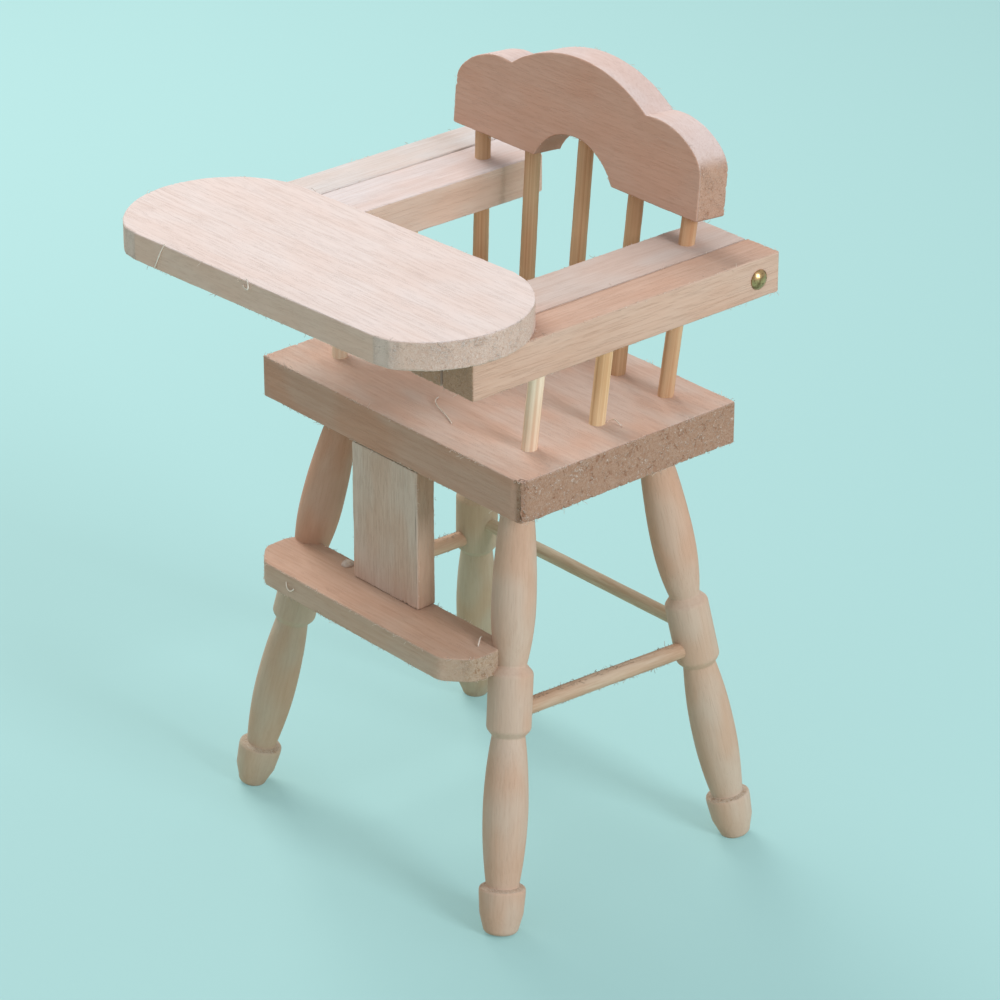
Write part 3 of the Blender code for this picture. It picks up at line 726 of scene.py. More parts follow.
tray_askew = turned_about((tray_low + tray_high) / 2, TRAY_TURN)
outline = tray_outline()
facets = [(outline[0] + outline[1]) / 2, (outline[-1] + outline[-2]) / 2]
tears = [(middle, TRAY_TEAR_REACH, TRAY_TEAR_DEPTH) for middle in facets]
flat_board(
    "tray_board", "tray", 6, TRAY_WOOD, "tray_frame", outline, drop=GLUE_FILM / 2, askew=tray_askew,
    chips=tears,
)

# %% [markdown]
# ## Footrest and panel
# The footrest is a board with two cut front corners, sanded round. The front legs stand in its back corners,
# so the board may simply run into them. The panel is the same kind of board stood on end, its grain upright.
# It reaches from the footrest to just under the seat. Both were glued a little to the left of the middle.

# %% Footrest and its panel
FOOTREST_CUT_LENGTH = 3.0 * MM
FOOTREST_CUT_DEPTH = 2.6 * MM
FOOTREST_LENGTH = 36.6 * MM
FOOTREST_ROUNDING = 2.6 * MM
FOOTREST_SHIFT = 0.7 * MM
PANEL_SHIFT = 0.85 * MM
PANEL_TOP_GAP = 0.12 * MM
footrest_low, footrest_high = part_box("footrest")
panel_low, panel_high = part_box("footrest_panel")


def footrest_outline():
    half, front, back = FOOTREST_LENGTH / 2, footrest_low.y, footrest_high.y
    right = [
        (half - FOOTREST_CUT_LENGTH, front),
        (half, front + FOOTREST_CUT_DEPTH),
        (half, back),
    ]
    left = [(-x, y) for x, y in reversed(right)]
    return [Vector(p) for p in left[-1:] + right + left[:-1]]


footrest_askew = Matrix.Translation((-FOOTREST_SHIFT, 0, 0))
flat_board(
    "footrest_board", "footrest", 7, FOOTREST_WOOD, outline=footrest_outline(), askew=footrest_askew,
    rounding=FOOTREST_ROUNDING,
)
upright = Matrix.Translation((-PANEL_SHIFT, panel_high.y, 0)) @ Matrix.Rotation(math.pi / 2, 4, "X")
panel_top = panel_high.z + GLUE_FILM - PANEL_TOP_GAP
panel_outline = rectangle(panel_low.x, panel_low.z - GLUE_FILM, panel_high.x, panel_top)
panel = board("footrest_panel_board", panel_outline, panel_high.y - panel_low.y, upright, 8, grain="Y")
finished(panel, PANEL_WOOD, "chair", ["footrest_panel"])

# %% [markdown]
# ## The crest rail
# The crest rail is fretsawn: three humps on top, square ends, and a low arch below. Its outline is four arcs
# and a few straight runs. It leans back with the spindles, so the board is made flat, and its place turns it
# upright.

# %% Crest rail
CREST_HALF_WIDTH = 20.1 * MM
CREST_THICKNESS = 4.0 * MM
CREST_BACK_EXCESS = 0.2 * MM
CREST_LOW_EXCESS = 0.3 * MM
CREST_END_HEIGHT = 5.8 * MM
CREST_VALLEY_HEIGHT = 9.25 * MM
CREST_VALLEY_SHARE = 0.548
CREST_SIDE_HUMP = 1.35 * MM
CREST_MIDDLE_HUMP = 3.45 * MM
CREST_ARCH_WIDTH = 12.8 * MM
CREST_ARCH_RISE = 3.6 * MM
CREST_RISE = 22.0 * MM
BACK_RAKE = math.radians(5.0)
BACK_INSET_REAR = 4.65 * MM
ARC_STEPS = 26
CREST_BEND_REACH = 1.3 * MM
BEND_STEPS = 7


def arc(start, end, rise):
    """Points after start up to end on an arc that stands out by rise, to the right of its way."""
    start, end = Vector(start), Vector(end)
    chord = end - start
    beside = Vector((chord.y, -chord.x)).normalized()
    radius = (chord.length_squared / 4 + rise * rise) / (2 * abs(rise))
    side = math.copysign(1.0, rise)
    centre = (start + end) / 2 + beside * (rise - side * radius)
    first = math.atan2(start.y - centre.y, start.x - centre.x)
    last = math.atan2(end.y - centre.y, end.x - centre.x)
    sweep = (last - first) % math.tau if side > 0 else -((first - last) % math.tau)
    angles = [first + sweep * step / ARC_STEPS for step in range(1, ARC_STEPS + 1)]
    return [centre + radius * Vector((math.cos(angle), math.sin(angle))) for angle in angles]


def bend(start, corner, end, steps):
    """Points of a soft bend from start to end, drawn towards the corner."""
    shares = [step / steps for step in range(steps + 1)]
    return [start.lerp(corner, share).lerp(corner.lerp(end, share), share) for share in shares]


def bent(outline, corner, reach):
    """The outline with one soft bend in place of the stretch within reach of a corner."""
    near = [index for index, point in enumerate(outline) if (point - corner).length < reach]
    before, after = outline[near[0] - 1], outline[near[-1] + 1]
    start = corner + (before - corner).normalized() * reach
    end = corner + (after - corner).normalized() * reach
    return outline[: near[0]] + bend(start, corner, end, BEND_STEPS) + outline[near[-1] + 1:]


def crest_outline():
    width, valley, half_arch = CREST_HALF_WIDTH, CREST_HALF_WIDTH * CREST_VALLEY_SHARE, CREST_ARCH_WIDTH / 2
    low = -CREST_LOW_EXCESS
    outline = [Vector((width, low)), Vector((width, CREST_END_HEIGHT))]
    outline += arc(outline[-1], (valley, CREST_VALLEY_HEIGHT), CREST_SIDE_HUMP)
    outline += arc(outline[-1], (-valley, CREST_VALLEY_HEIGHT), CREST_MIDDLE_HUMP)
    outline += arc(outline[-1], (-width, CREST_END_HEIGHT), CREST_SIDE_HUMP)
    outline += [Vector((-width, low)), Vector((-half_arch, low))]
    outline += arc(outline[-1], (half_arch, low), low - CREST_ARCH_RISE)
    for side in (-1, 1):
        outline = bent(outline, Vector((side * width, CREST_END_HEIGHT)), CREST_BEND_REACH)
    return outline


crest_y = seat_high.y - BACK_INSET_REAR + CREST_RISE * math.tan(BACK_RAKE)
crest_foot = Vector((0, crest_y, seat_high.z + CREST_RISE))
lean = Matrix.Rotation(math.pi / 2 - BACK_RAKE, 4, "X")
crest_back = -CREST_THICKNESS / 2 - CREST_BACK_EXCESS
crest_place = Matrix.Translation(crest_foot) @ lean @ Matrix.Translation((0, 0, crest_back))
crest = board("crest_rail_board", crest_outline(), CREST_THICKNESS + CREST_BACK_EXCESS, crest_place, 9)
finished(crest, CREST_WOOD, "chair", ["crest_rail"])

# %% [markdown]
# ## Trees that grow pieces
# Each geometry tree needs the same things: a named input for each size, a modifier that runs it once, and a
# plain mesh at the end, because the export takes meshes and no modifiers. These helpers do that. The result
# lies at the origin with its place in its mesh. Its seams are merged, and its faces point outwards.

# %% Tree helpers
MERGE_DISTANCE = 0.002 * MM


def new_tree(name, inputs):
    """An empty geometry tree with named inputs, given as (name, socket type, value)."""
    tree = bpy.data.node_groups.new(name, "GeometryNodeTree")
    for way in ("INPUT", "OUTPUT"):
        tree.interface.new_socket("Geometry", in_out=way, socket_type="NodeSocketGeometry")
    for title, kind, value in inputs:
        socket = tree.interface.new_socket(title, in_out="INPUT", socket_type="NodeSocket" + kind)
        if value is not None:
            socket.default_value = value
    maker = Maker(tree)
    given = {socket.name: Number(maker, socket) for socket in maker.node("NodeGroupInput").outputs}
    return tree, maker, given


def position(maker):
    return maker.out("GeometryNodeInputPosition")


def moved(maker, geometry, **where):
    return maker.out("GeometryNodeSetPosition", None, {"Geometry": geometry, **where})


def stored(maker, geometry, kind, name, value, domain="POINT"):
    settings = {"data_type": kind, "domain": domain}
    sockets = {"Geometry": geometry, "Name": name, "Value": value}
    return maker.out("GeometryNodeStoreNamedAttribute", settings, sockets)


def end_tree(maker, geometry, material):
    real = maker.out("GeometryNodeRealizeInstances", None, {"Geometry": geometry})
    painted = maker.out("GeometryNodeSetMaterial", None, {"Geometry": real, "Material": material})
    maker.node("NodeGroupOutput", None, {0: painted})


def grown(name, guide, tree, values, place=Matrix.Identity(4)):
    """Runs a tree on a guide mesh and returns the result as a plain mesh object at the origin."""
    source = in_scene(name + "_guide", guide)
    modifier = source.modifiers.new("tree", "NODES")
    modifier.node_group = tree
    for item in tree.interface.items_tree:
        if item.in_out == "INPUT" and item.name in values:
            modifier[item.identifier] = values[item.name]
    evaluated = source.evaluated_get(bpy.context.evaluated_depsgraph_get())
    mesh = bpy.data.meshes.new_from_object(evaluated)
    mesh.name = name
    source.modifiers.remove(modifier)
    bpy.data.objects.remove(source)
    mesh.transform(place)
    form = bmesh.new()
    form.from_mesh(mesh)
    bmesh.ops.remove_doubles(form, verts=form.verts, dist=MERGE_DISTANCE)
    bmesh.ops.recalc_face_normals(form, faces=form.faces)
    form.to_mesh(mesh)
    form.free()
    return in_scene(name, mesh)


print("tree helpers ready")

# %% [markdown]
# ## A lathe as a node tree
# The four legs are the same turning. A lathe spins a profile about an axis, and that is a rule, so Geometry
# Nodes do it: the modifier's own mesh is the profile, and the tree lays a grid round the axis and reads the
# radius and the height of each row from it. A little noise takes the machine's perfection away. The tree also
# stores where each point lies in the stock, so that the grain follows the leg and not the room.

# %% The lathe tree
LATHE_INPUTS = [
    ("Sides", "Int", 48),
    ("Wobble", "Float", 0.02 * MM),
    ("Wobble length", "Float", 2.5 * MM),
    ("Plank place", "Vector", None),
    ("Material", "Material", None),
]


def lathe_tree():
    tree, maker, given = new_tree("lathe", LATHE_INPUTS)
    count = maker.number("GeometryNodeAttributeDomainSize", None, {0: given["Geometry"]})
    sockets = {"Size X": 1.0, "Size Y": 1.0, "Vertices X": given["Sides"] + 1, "Vertices Y": count}
    grid = maker.out("GeometryNodeMeshGrid", None, sockets)
    x, y, _ = maker.parts(position(maker))
    angle = (x + 0.5) * math.tau
    row = maker.math("ROUND", (y + 0.5) * (count - 1))
    settings = {"data_type": "FLOAT_VECTOR", "domain": "POINT"}
    sockets = {"Geometry": given["Geometry"], "Value": position(maker), "Index": row}
    radius, cut, height = maker.parts(maker.out("GeometryNodeSampleIndex", settings, sockets))
    spot = maker.combined(radius * maker.math("COSINE", angle), radius * maker.math("SINE", angle), height)
    shaped = stored(maker, grid, "FLOAT", CUT_ATTRIBUTE, cut)
    return tree, maker, given, moved(maker, shaped, Position=spot)


def finish_lathe(tree, maker, given, shaped):
    """Adds the stock's places, the wobble and the closing of the seam to the spun grid."""
    x, y, z = maker.parts(position(maker))
    in_plank = maker.vector("ADD", maker.combined(z, x, y), given["Plank place"])
    shaped = stored(maker, shaped, "FLOAT_VECTOR", GRAIN_ATTRIBUTE, in_plank)
    swing = maker.noise(maker.vector("DIVIDE", in_plank, given["Wobble length"]))
    way = maker.vector("NORMALIZE", maker.combined(x, y))
    shaped = moved(maker, shaped, Offset=maker.scaled(way, (swing - 0.5) * given["Wobble"]))
    sockets = {"Geometry": shaped, "Distance": MERGE_DISTANCE}
    shaped = maker.out("GeometryNodeMergeByDistance", None, sockets)
    shaped = maker.out("GeometryNodeSetShadeSmooth", None, {"Geometry": shaped})
    end_tree(maker, shaped, given["Material"])
    return tree


LATHE = finish_lathe(*lathe_tree())
print("lathe tree:", len(LATHE.nodes), "nodes")

# %% [markdown]
# ## The legs
# From the floor up, a leg has a cup-shaped foot with a flat rim, a long swelling shaft, a straight collar
# that takes the stretchers, and a vase that thins towards the seat. A parabola on each side of the widest
# place gives the slack curve of hand turning. The rows lie closer where the profile steps, and the steps keep
# a tiny radius.

# %% The leg's profile
FOOT_TRIM = 0.12 * MM
FOOT_TIP_RADIUS = 1.70 * MM
FOOT_ROUNDING = 0.8 * MM
FOOT_ROUNDING_ANGLES = [math.radians(angle) for angle in (30, 60, 90)]
FOOT_RIM_RADIUS = 2.50 * MM
FOOT_RIM_HEIGHT = 4.5 * MM
FOOT_RIM_WIDTH = 0.7 * MM
FOOT_SIDE_SHARE = 0.72
FOOT_SWELL_PARTS = 3
SHAFT_LOW_RADIUS = 1.72 * MM
SHAFT_RADIUS = 2.40 * MM
SHAFT_TOP_RADIUS = 1.85 * MM
SHAFT_LOW_HEIGHT = 5.4 * MM
SHAFT_TOP_HEIGHT = 22.0 * MM
COLLAR_RADIUS = 2.50 * MM
COLLAR_CHAMFER = 0.8 * MM
COLLAR_TOP_HEIGHT = 29.8 * MM
NECK_RADIUS = 1.72 * MM
NECK_DROP = 0.9 * MM
VASE_RADIUS = 2.47 * MM
VASE_TOP_RADIUS = 1.40 * MM
VASE_PEAK_SHARE = 0.34
TENON = 1.8 * MM
ROW_STEP = 0.3 * MM
FEWEST_ROWS = 3
STEP_RADIUS = 0.30 * MM
EASE_STEPS = 5
EASE_REACH_SHARE = 0.4
SHORTEST_RUN = 0.001 * MM


def swelling(low, peak, high):
    """Profile points of a swelling, a parabola on each side of its widest place."""
    points = []
    for end, upwards in ((low, False), (high, True)):
        count = max(FEWEST_ROWS, round(abs(end[1] - peak[1]) / ROW_STEP))
        part = []
        for step in range(count + 1):
            share = step / count
            radius = peak[0] + (end[0] - peak[0]) * share * share
            part.append((radius, peak[1] + (end[1] - peak[1]) * share))
        points += part[1:] if upwards else part[::-1]
    return points


def eased(points, radius):
    """The profile with each sharp turn replaced by a small round one."""
    points = [Vector(point) for point in points]
    smooth = points[:1]
    for before, here, after in zip(points, points[1:], points[2:]):
        if abs(turn_at(before, here, after)) < SHARP_TURN:
            smooth.append(here)
            continue
        back, on = before - here, after - here
        reach = min(radius, back.length * EASE_REACH_SHARE, on.length * EASE_REACH_SHARE)
        smooth += bend(here + back.normalized() * reach, here, here + on.normalized() * reach, EASE_STEPS)
    return smooth + points[-1:]


def leg_profile(length, foot_swell=0.0, shaft_swell=0.0, shoulder_lift=0.0):
    """(radius, height) from the foot to the end of the tenon, on the leg's own axis. No two turnings come
    out alike: the swells are what this one has more in its foot and shaft, and its collar may begin
    higher."""
    neck_height = COLLAR_TOP_HEIGHT + NECK_DROP
    tip, rim = FOOT_TIP_RADIUS + foot_swell, FOOT_RIM_RADIUS + foot_swell / FOOT_SWELL_PARTS
    vase_peak = neck_height + (length - neck_height) * VASE_PEAK_SHARE
    points = [(0, -FOOT_TRIM), (tip - FOOT_ROUNDING, -FOOT_TRIM)]
    for turn in FOOT_ROUNDING_ANGLES:
        radius = tip - FOOT_ROUNDING * (1 - math.sin(turn))
        points.append((radius, FOOT_ROUNDING * (1 - math.cos(turn)) - FOOT_TRIM))
    points.append((tip + (rim - tip) * FOOT_SIDE_SHARE, FOOT_RIM_HEIGHT / 2))
    points += [(rim, FOOT_RIM_HEIGHT), (rim, FOOT_RIM_HEIGHT + FOOT_RIM_WIDTH)]
    shoulder = SHAFT_TOP_HEIGHT + shoulder_lift
    low, high = (SHAFT_LOW_RADIUS + shaft_swell, SHAFT_LOW_HEIGHT), (SHAFT_TOP_RADIUS, shoulder)
    points += swelling(low, (SHAFT_RADIUS + shaft_swell, (SHAFT_LOW_HEIGHT + shoulder) / 2), high)
    points += [(COLLAR_RADIUS, shoulder + COLLAR_CHAMFER), (COLLAR_RADIUS, COLLAR_TOP_HEIGHT)]
    points += swelling((NECK_RADIUS, neck_height), (VASE_RADIUS, vase_peak), (VASE_TOP_RADIUS, length))
    return eased(points + [(VASE_TOP_RADIUS, length + TENON), (0, length + TENON)], STEP_RADIUS)


def turned(name, profile, values, place, material, nodes):
    """One piece from the lathe. The Y of its profile mesh holds how squarely the grain is cut there."""
    rows = []
    for index, point in enumerate(profile):
        before, after = profile[max(index - 1, 0)], profile[min(index + 1, len(profile) - 1)]
        run = Vector(after) - Vector(before)
        rows.append((point[0], abs(run.x) / max(run.length, SHORTEST_RUN), point[1]))
    links = [(index, index + 1) for index in range(len(rows) - 1)]
    mesh = new_mesh(name + "_profile", rows, links, [], {})
    piece = grown(name, mesh, LATHE, {"Material": material, **values}, place)
    return finished(piece, material, "chair", nodes)


print("leg profile ready")

# %% [markdown]
# The legs splay outwards both ways. Each has one straight line, from its foot on the floor to its socket in
# the seat, and the line is worked out from the seat's corners. The chair was put together by eye, so a foot
# may stray a little from its true place.

# %% Where the legs stand
LEG_INSET_SIDE = 7.4 * MM
LEG_INSET_FRONT = 6.2 * MM
LEG_INSET_REAR = 5.8 * MM
FRONT_SPREAD_SIDE = 7.7 * MM
FRONT_SPREAD_FORWARD = 9.3 * MM
REAR_SPREAD_SIDE = 8.9 * MM
REAR_SPREAD_BACK = 5.3 * MM
STRAY = {"rear_left_leg": (1.9 * MM, 0.2 * MM), "rear_right_leg": (0.4 * MM, 0.5 * MM)}


def leg_name(side, rear):
    return ("rear_" if rear else "front_") + ("left" if side < 0 else "right") + "_leg"


def leg_line(side, rear):
    """(foot, seat end) of a leg's axis."""
    top_x = seat_high.x - LEG_INSET_SIDE
    if rear:
        top_y = seat_high.y - LEG_INSET_REAR
        foot = Vector((side * (top_x + REAR_SPREAD_SIDE), top_y + REAR_SPREAD_BACK, 0))
    else:
        top_y = seat_low.y + LEG_INSET_FRONT
        foot = Vector((side * (top_x + FRONT_SPREAD_SIDE), top_y - FRONT_SPREAD_FORWARD, 0))
    stray_x, stray_y = STRAY.get(leg_name(side, rear), (0, 0))
    return foot + Vector((stray_x, stray_y, 0)), Vector((side * top_x, top_y, seat_low.z))


def along(start, end):
    """The place that takes the Z axis to the line from start to end."""
    return Matrix.Translation(start) @ (end - start).to_track_quat("Z", "Y").to_matrix().to_4x4()


print("front right foot at", in_mm(leg_line(1, False)[0]), "mm")

# %% [markdown]
# A leg is turned upright and then tilted onto its line. The inner rim of the foot is worn level with the
# floor, by a plane through the mesh, and the outer rim stays clear of it. No two hand turnings are alike, so
# two of the legs are a little fuller.

# %% Turn and place the legs
LEG_WOBBLE = 0.06 * MM
LEG_WOBBLE_LENGTH = 4 * MM
PLANK_STEP_SIDE = (0.3, 0.05, 0.0)
PLANK_STEP_REAR = (0.1, 0.0, 0.03)
TURNING_FAULTS = {
    "front_right_leg": (0.35 * MM, 0.12 * MM, 0.6 * MM),
    "rear_right_leg": (0.12 * MM, 0.1 * MM, 0),
}


def trim_at_floor(piece):
    form = bmesh.new()
    form.from_mesh(piece.data)
    everything = form.verts[:] + form.edges[:] + form.faces[:]
    cut = bmesh.ops.bisect_plane(
        form, geom=everything, plane_co=(0, 0, 0), plane_no=DOWN, clear_outer=True
    )
    rim = [part for part in cut["geom_cut"] if isinstance(part, bmesh.types.BMEdge)]
    for face in bmesh.ops.contextual_create(form, geom=rim)["faces"]:
        face.smooth = False
        face.material_index = 0
    form.to_mesh(piece.data)
    form.free()


for rear in (False, True):
    for side in (-1, 1):
        foot, top = leg_line(side, rear)
        name = leg_name(side, rear)
        plank = tuple(side * a + rear * b for a, b in zip(PLANK_STEP_SIDE, PLANK_STEP_REAR))
        values = {"Wobble": LEG_WOBBLE, "Wobble length": LEG_WOBBLE_LENGTH, "Plank place": plank}
        profile = leg_profile((top - foot).length, *TURNING_FAULTS.get(name, ()))
        place = along(foot, top)
        leg = turned(name + "_turning", profile, values, place, LEG_WOODS[name], [name])
        trim_at_floor(leg)

# %% [markdown]
# ## Stretchers and spindles
# The rest of the round stock is thin dowel, split from bamboo-like skewers with strong streaks. Twelve dowels
# follow twelve straight lines, so one tree grows them all: its guide mesh holds an edge for each dowel's
# axis, and each edge gets a round body. A dowel's streaks start at a random place, so that no two look alike.

# %% The dowel tree
FULLNESS_ATTRIBUTE = "fullness"
RUN_ATTRIBUTE = "run"
LUCK_ATTRIBUTE = "luck"
ACROSS_ATTRIBUTE = "across"
LUCK_REACH = (0.4, 0.4, 0.4)
DOWEL_WAVES_PER_METRE = 420.0
DOWEL_INPUTS = [
    ("Radius", "Float", 0.9 * MM),
    ("Sides", "Int", 28),
    ("Step", "Float", 0.4 * MM),
    ("Wobble", "Float", 0.07 * MM),
    ("Seed", "Int", 1),
    ("Material", "Material", None),
]


def named(maker, name, kind="FLOAT"):
    return maker.out("GeometryNodeInputNamedAttribute", {"data_type": kind}, {"Name": name})


def dowel_tree():
    tree, maker, given = new_tree("dowels", DOWEL_INPUTS)
    axis = maker.out("GeometryNodeMeshToCurve", None, {0: given["Geometry"]})
    sockets = {"Curve": axis, "Length": given["Step"]}
    axis = maker.out("GeometryNodeResampleCurve", {"mode": "LENGTH"}, sockets)
    sockets = {"Curve": axis, "Radius": named(maker, FULLNESS_ATTRIBUTE)}
    axis = maker.out("GeometryNodeSetCurveRadius", None, sockets)
    run = maker.out("GeometryNodeSplineParameter", None, None, 1)
    axis = stored(maker, axis, "FLOAT", RUN_ATTRIBUTE, run)
    which = maker.out("GeometryNodeInputIndex")
    sockets = {"Min": (0, 0, 0), "Max": LUCK_REACH, "ID": which, "Seed": given["Seed"]}
    luck = maker.out("FunctionNodeRandomValue", {"data_type": "FLOAT_VECTOR"}, sockets)
    axis = stored(maker, axis, "FLOAT_VECTOR", LUCK_ATTRIBUTE, luck, "CURVE")
    sockets = {"Resolution": given["Sides"], "Radius": given["Radius"]}
    ring = maker.out("GeometryNodeCurvePrimitiveCircle", None, sockets)
    ring = stored(maker, ring, "FLOAT_VECTOR", ACROSS_ATTRIBUTE, position(maker))
    sockets = {"Curve": axis, "Profile Curve": ring, "Fill Caps": True}
    return tree, maker, given, maker.out("GeometryNodeCurveToMesh", None, sockets)


def finish_dowels(tree, maker, given, body):
    """Adds the stock's places and a little wobble to the dowels."""
    wide, deep, _ = maker.parts(named(maker, ACROSS_ATTRIBUTE, "FLOAT_VECTOR"))
    in_dowel = maker.combined(named(maker, RUN_ATTRIBUTE), wide, deep)
    place = maker.vector("ADD", in_dowel, named(maker, LUCK_ATTRIBUTE, "FLOAT_VECTOR"))
    body = stored(maker, body, "FLOAT_VECTOR", GRAIN_ATTRIBUTE, place)
    swing = maker.noise(place, DOWEL_WAVES_PER_METRE)
    normal = maker.out("GeometryNodeInputNormal")
    body = moved(maker, body, Offset=maker.scaled(normal, (swing - 0.5) * given["Wobble"]))
    body = maker.out("GeometryNodeSetShadeSmooth", None, {"Geometry": body})
    end_tree(maker, body, given["Material"])
    return tree


def chains(name, lines, closed=False, fullness=None):
    """A mesh of point chains, for a tree to follow. Fullness is how thick each of them is, as a share."""
    verts, edges, shares = [], [], []
    for index, line in enumerate(lines):
        first, count = len(verts), len(line)
        links = count if closed else count - 1
        verts += line
        shares += [fullness[index] if fullness else 1.0] * count
        edges += [(first + step, first + (step + 1) % count) for step in range(links)]
    return new_mesh(name + "_chains", verts, edges, [], {FULLNESS_ATTRIBUTE: shares})


DOWELS = finish_dowels(*dowel_tree())
print("dowel tree:", len(DOWELS.nodes), "nodes")

# %% [markdown]
# The stretchers run from leg to leg at their collars, with their ends inside the legs. The back spindles fan
# out and lean back with the crest rail, and the arm spindles lean the same way. Each line is worked out from
# the legs, the seat and the arms, and a spindle's is made longer by its sockets.

# %% Where the dowels run
SPINDLE_RADIUS = 0.90 * MM
SIDE_STRETCHER_RADIUS = 0.95 * MM
REAR_STRETCHER_RADIUS = 0.80 * MM
SIDE_STRETCHER_FRONT_HEIGHT = 24.4 * MM
SIDE_STRETCHER_REAR_HEIGHT = 23.7 * MM
REAR_STRETCHER_HEIGHT = 25.9 * MM
BACK_SPINDLE_COUNT = 5
BACK_INSET_SIDE = 6.3 * MM
BACK_FAN = 1.45 * MM
ARM_SPINDLE_INSET_SIDE = 5.9 * MM
ARM_SPINDLE_INSET_FRONT = 6.4 * MM
ARM_SPINDLE_SPACING = 9.85 * MM
ARM_SPINDLE_LEAN = 0.55 * MM
SOCKET = 1.8 * MM


def on_leg(side, rear, height):
    foot, top = leg_line(side, rear)
    return foot.lerp(top, height / top.z)


def sunk(low, high, depth_low, depth_high):
    """A line made longer at both ends, by the depths of its sockets."""
    way = (high - low).normalized()
    return low - way * depth_low, high + way * depth_high


def back_spindle_lines():
    lines = []
    for index in range(BACK_SPINDLE_COUNT):
        share = 2 * index / (BACK_SPINDLE_COUNT - 1) - 1
        low_x = share * (seat_high.x - BACK_INSET_SIDE)
        low = Vector((low_x, seat_high.y - BACK_INSET_REAR, seat_high.z))
        high = low + Vector((share * BACK_FAN, CREST_RISE * math.tan(BACK_RAKE), CREST_RISE))
        in_crest = CREST_ARCH_RISE + SOCKET if share == 0 else SOCKET
        lines.append(sunk(low, high, SOCKET, in_crest))
    return lines


def arm_spindle_lines(row):
    """The left and the right spindle of one row, counted from the front."""
    lines = []
    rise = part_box("left_fixed_arm")[0].z - seat_high.z
    foot_y = seat_low.y + ARM_SPINDLE_INSET_FRONT + row * ARM_SPINDLE_SPACING
    for side in (-1, 1):
        low = Vector((side * (seat_high.x - ARM_SPINDLE_INSET_SIDE), foot_y, seat_high.z))
        high = low + Vector((side * ARM_SPINDLE_LEAN, rise * math.tan(BACK_RAKE), rise))
        lines.append(sunk(low, high, SOCKET, SOCKET))
    return lines


def side_stretcher_line(side):
    front = on_leg(side, False, SIDE_STRETCHER_FRONT_HEIGHT)
    return front, on_leg(side, True, SIDE_STRETCHER_REAR_HEIGHT)


rear_line = tuple(on_leg(side, True, REAR_STRETCHER_HEIGHT) for side in (-1, 1))
side_lines = [side_stretcher_line(side) for side in (-1, 1)]
print("rear stretcher:", in_mm([(rear_line[1] - rear_line[0]).length]), "mm long")

# %% [markdown]
# Five sets of dowels come out of the one tree, each with its own thickness, wood and seed. The spindles of
# the back are also uneven among themselves, so each has its own fullness.

# %% Grow the dowels
BACK_PLACES = ("left_outer", "left_inner", "centre", "right_inner", "right_outer")
BACK_FULLNESS = (0.94, 1.07, 0.95, 1.08, 1.08)


def both_sides(what):
    return ["left" + what, "right" + what]


back_nodes = [place + "_back_spindle" for place in BACK_PLACES]
front_nodes, middle_nodes = both_sides("_front_arm_spindle"), both_sides("_middle_arm_spindle")
DOWEL_SETS = [
    ("back_spindles", back_spindle_lines(), SPINDLE_RADIUS, "back_spindle", back_nodes, 3),
    ("front_arm_spindles", arm_spindle_lines(0), SPINDLE_RADIUS, "front_spindle", front_nodes, 8),
    ("middle_arm_spindles", arm_spindle_lines(1), SPINDLE_RADIUS, "middle_spindle", middle_nodes, 9),
    ("side_stretchers", side_lines, SIDE_STRETCHER_RADIUS, "side_stretcher", both_sides("_stretcher"), 5),
    ("rear_stretcher_dowel", [rear_line], REAR_STRETCHER_RADIUS, "rear_stretcher", ["rear_stretcher"], 6),
]
for name, lines, radius, row, nodes, seed in DOWEL_SETS:
    fullness = BACK_FULLNESS if row == "back_spindle" else None
    values = {"Radius": radius, "Seed": seed, "Material": DOWEL_WOODS[row]}
    dowels = grown(name, chains(name, lines, fullness=fullness), DOWELS, values)
    slot = "leg_wood" if "stretcher" in row else "spindle_wood"
    finished(dowels, DOWEL_WOODS[row], "chair", nodes)

# %% [markdown]
# ## The hinge pins
# Each pin is a round-headed brass nail driven through the tray arm into the fixed arm. It is turned on the
# same lathe as the legs: a dome with a rounded rim, a short flat underside and a pointed shank.

# %% Turn the pins
PIN_HEAD_RADIUS = 1.15 * MM
PIN_HEAD_HEIGHT = 0.62 * MM
PIN_RIM = 0.12 * MM
PIN_SHANK_RADIUS = 0.45 * MM
PIN_POINT = 0.8 * MM
PIN_INSET_REAR = 3.1 * MM
PIN_SHANK_LENGTH = 9.05 * MM
PIN_EASING = 0.06 * MM
PIN_DOME_STEPS = 12
PIN_PLANK_STEP = 0.1
PIN_LATHE = {"Sides": 40, "Wobble": 0.03 * MM, "Wobble length": 0.6 * MM}


def pin_profile():
    """(radius, height) from the top of the dome to the point, the head's underside at height zero."""
    radius, rise = PIN_HEAD_RADIUS, PIN_HEAD_HEIGHT - PIN_RIM
    dome = (radius * radius + rise * rise) / (2 * rise)
    widest = math.asin(radius / dome)
    points = []
    for step in range(PIN_DOME_STEPS + 1):
        angle = widest * step / PIN_DOME_STEPS
        points.append((dome * math.sin(angle), PIN_HEAD_HEIGHT - dome * (1 - math.cos(angle))))
    points += [(radius, 0), (PIN_SHANK_RADIUS, 0), (PIN_SHANK_RADIUS, PIN_POINT - PIN_SHANK_LENGTH)]
    return eased(points + [(0, -PIN_SHANK_LENGTH)], PIN_EASING)


arm_low, arm_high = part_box("right_tray_arm")
pivot_y, pivot_z = arm_high.y - PIN_INSET_REAR, (arm_low.z + arm_high.z) / 2
for side, word in ((-1, "left"), (1, "right")):
    head = Vector((side * arm_high.x, pivot_y, pivot_z))
    place = along(head, head + Vector((side * MM, 0, 0)))
    values = {**PIN_LATHE, "Plank place": (PIN_PLANK_STEP * side, 0, 0)}
    turned(word + "_pin", pin_profile(), values, place, PIN_BRASS, [word + "_hinge_pin"])

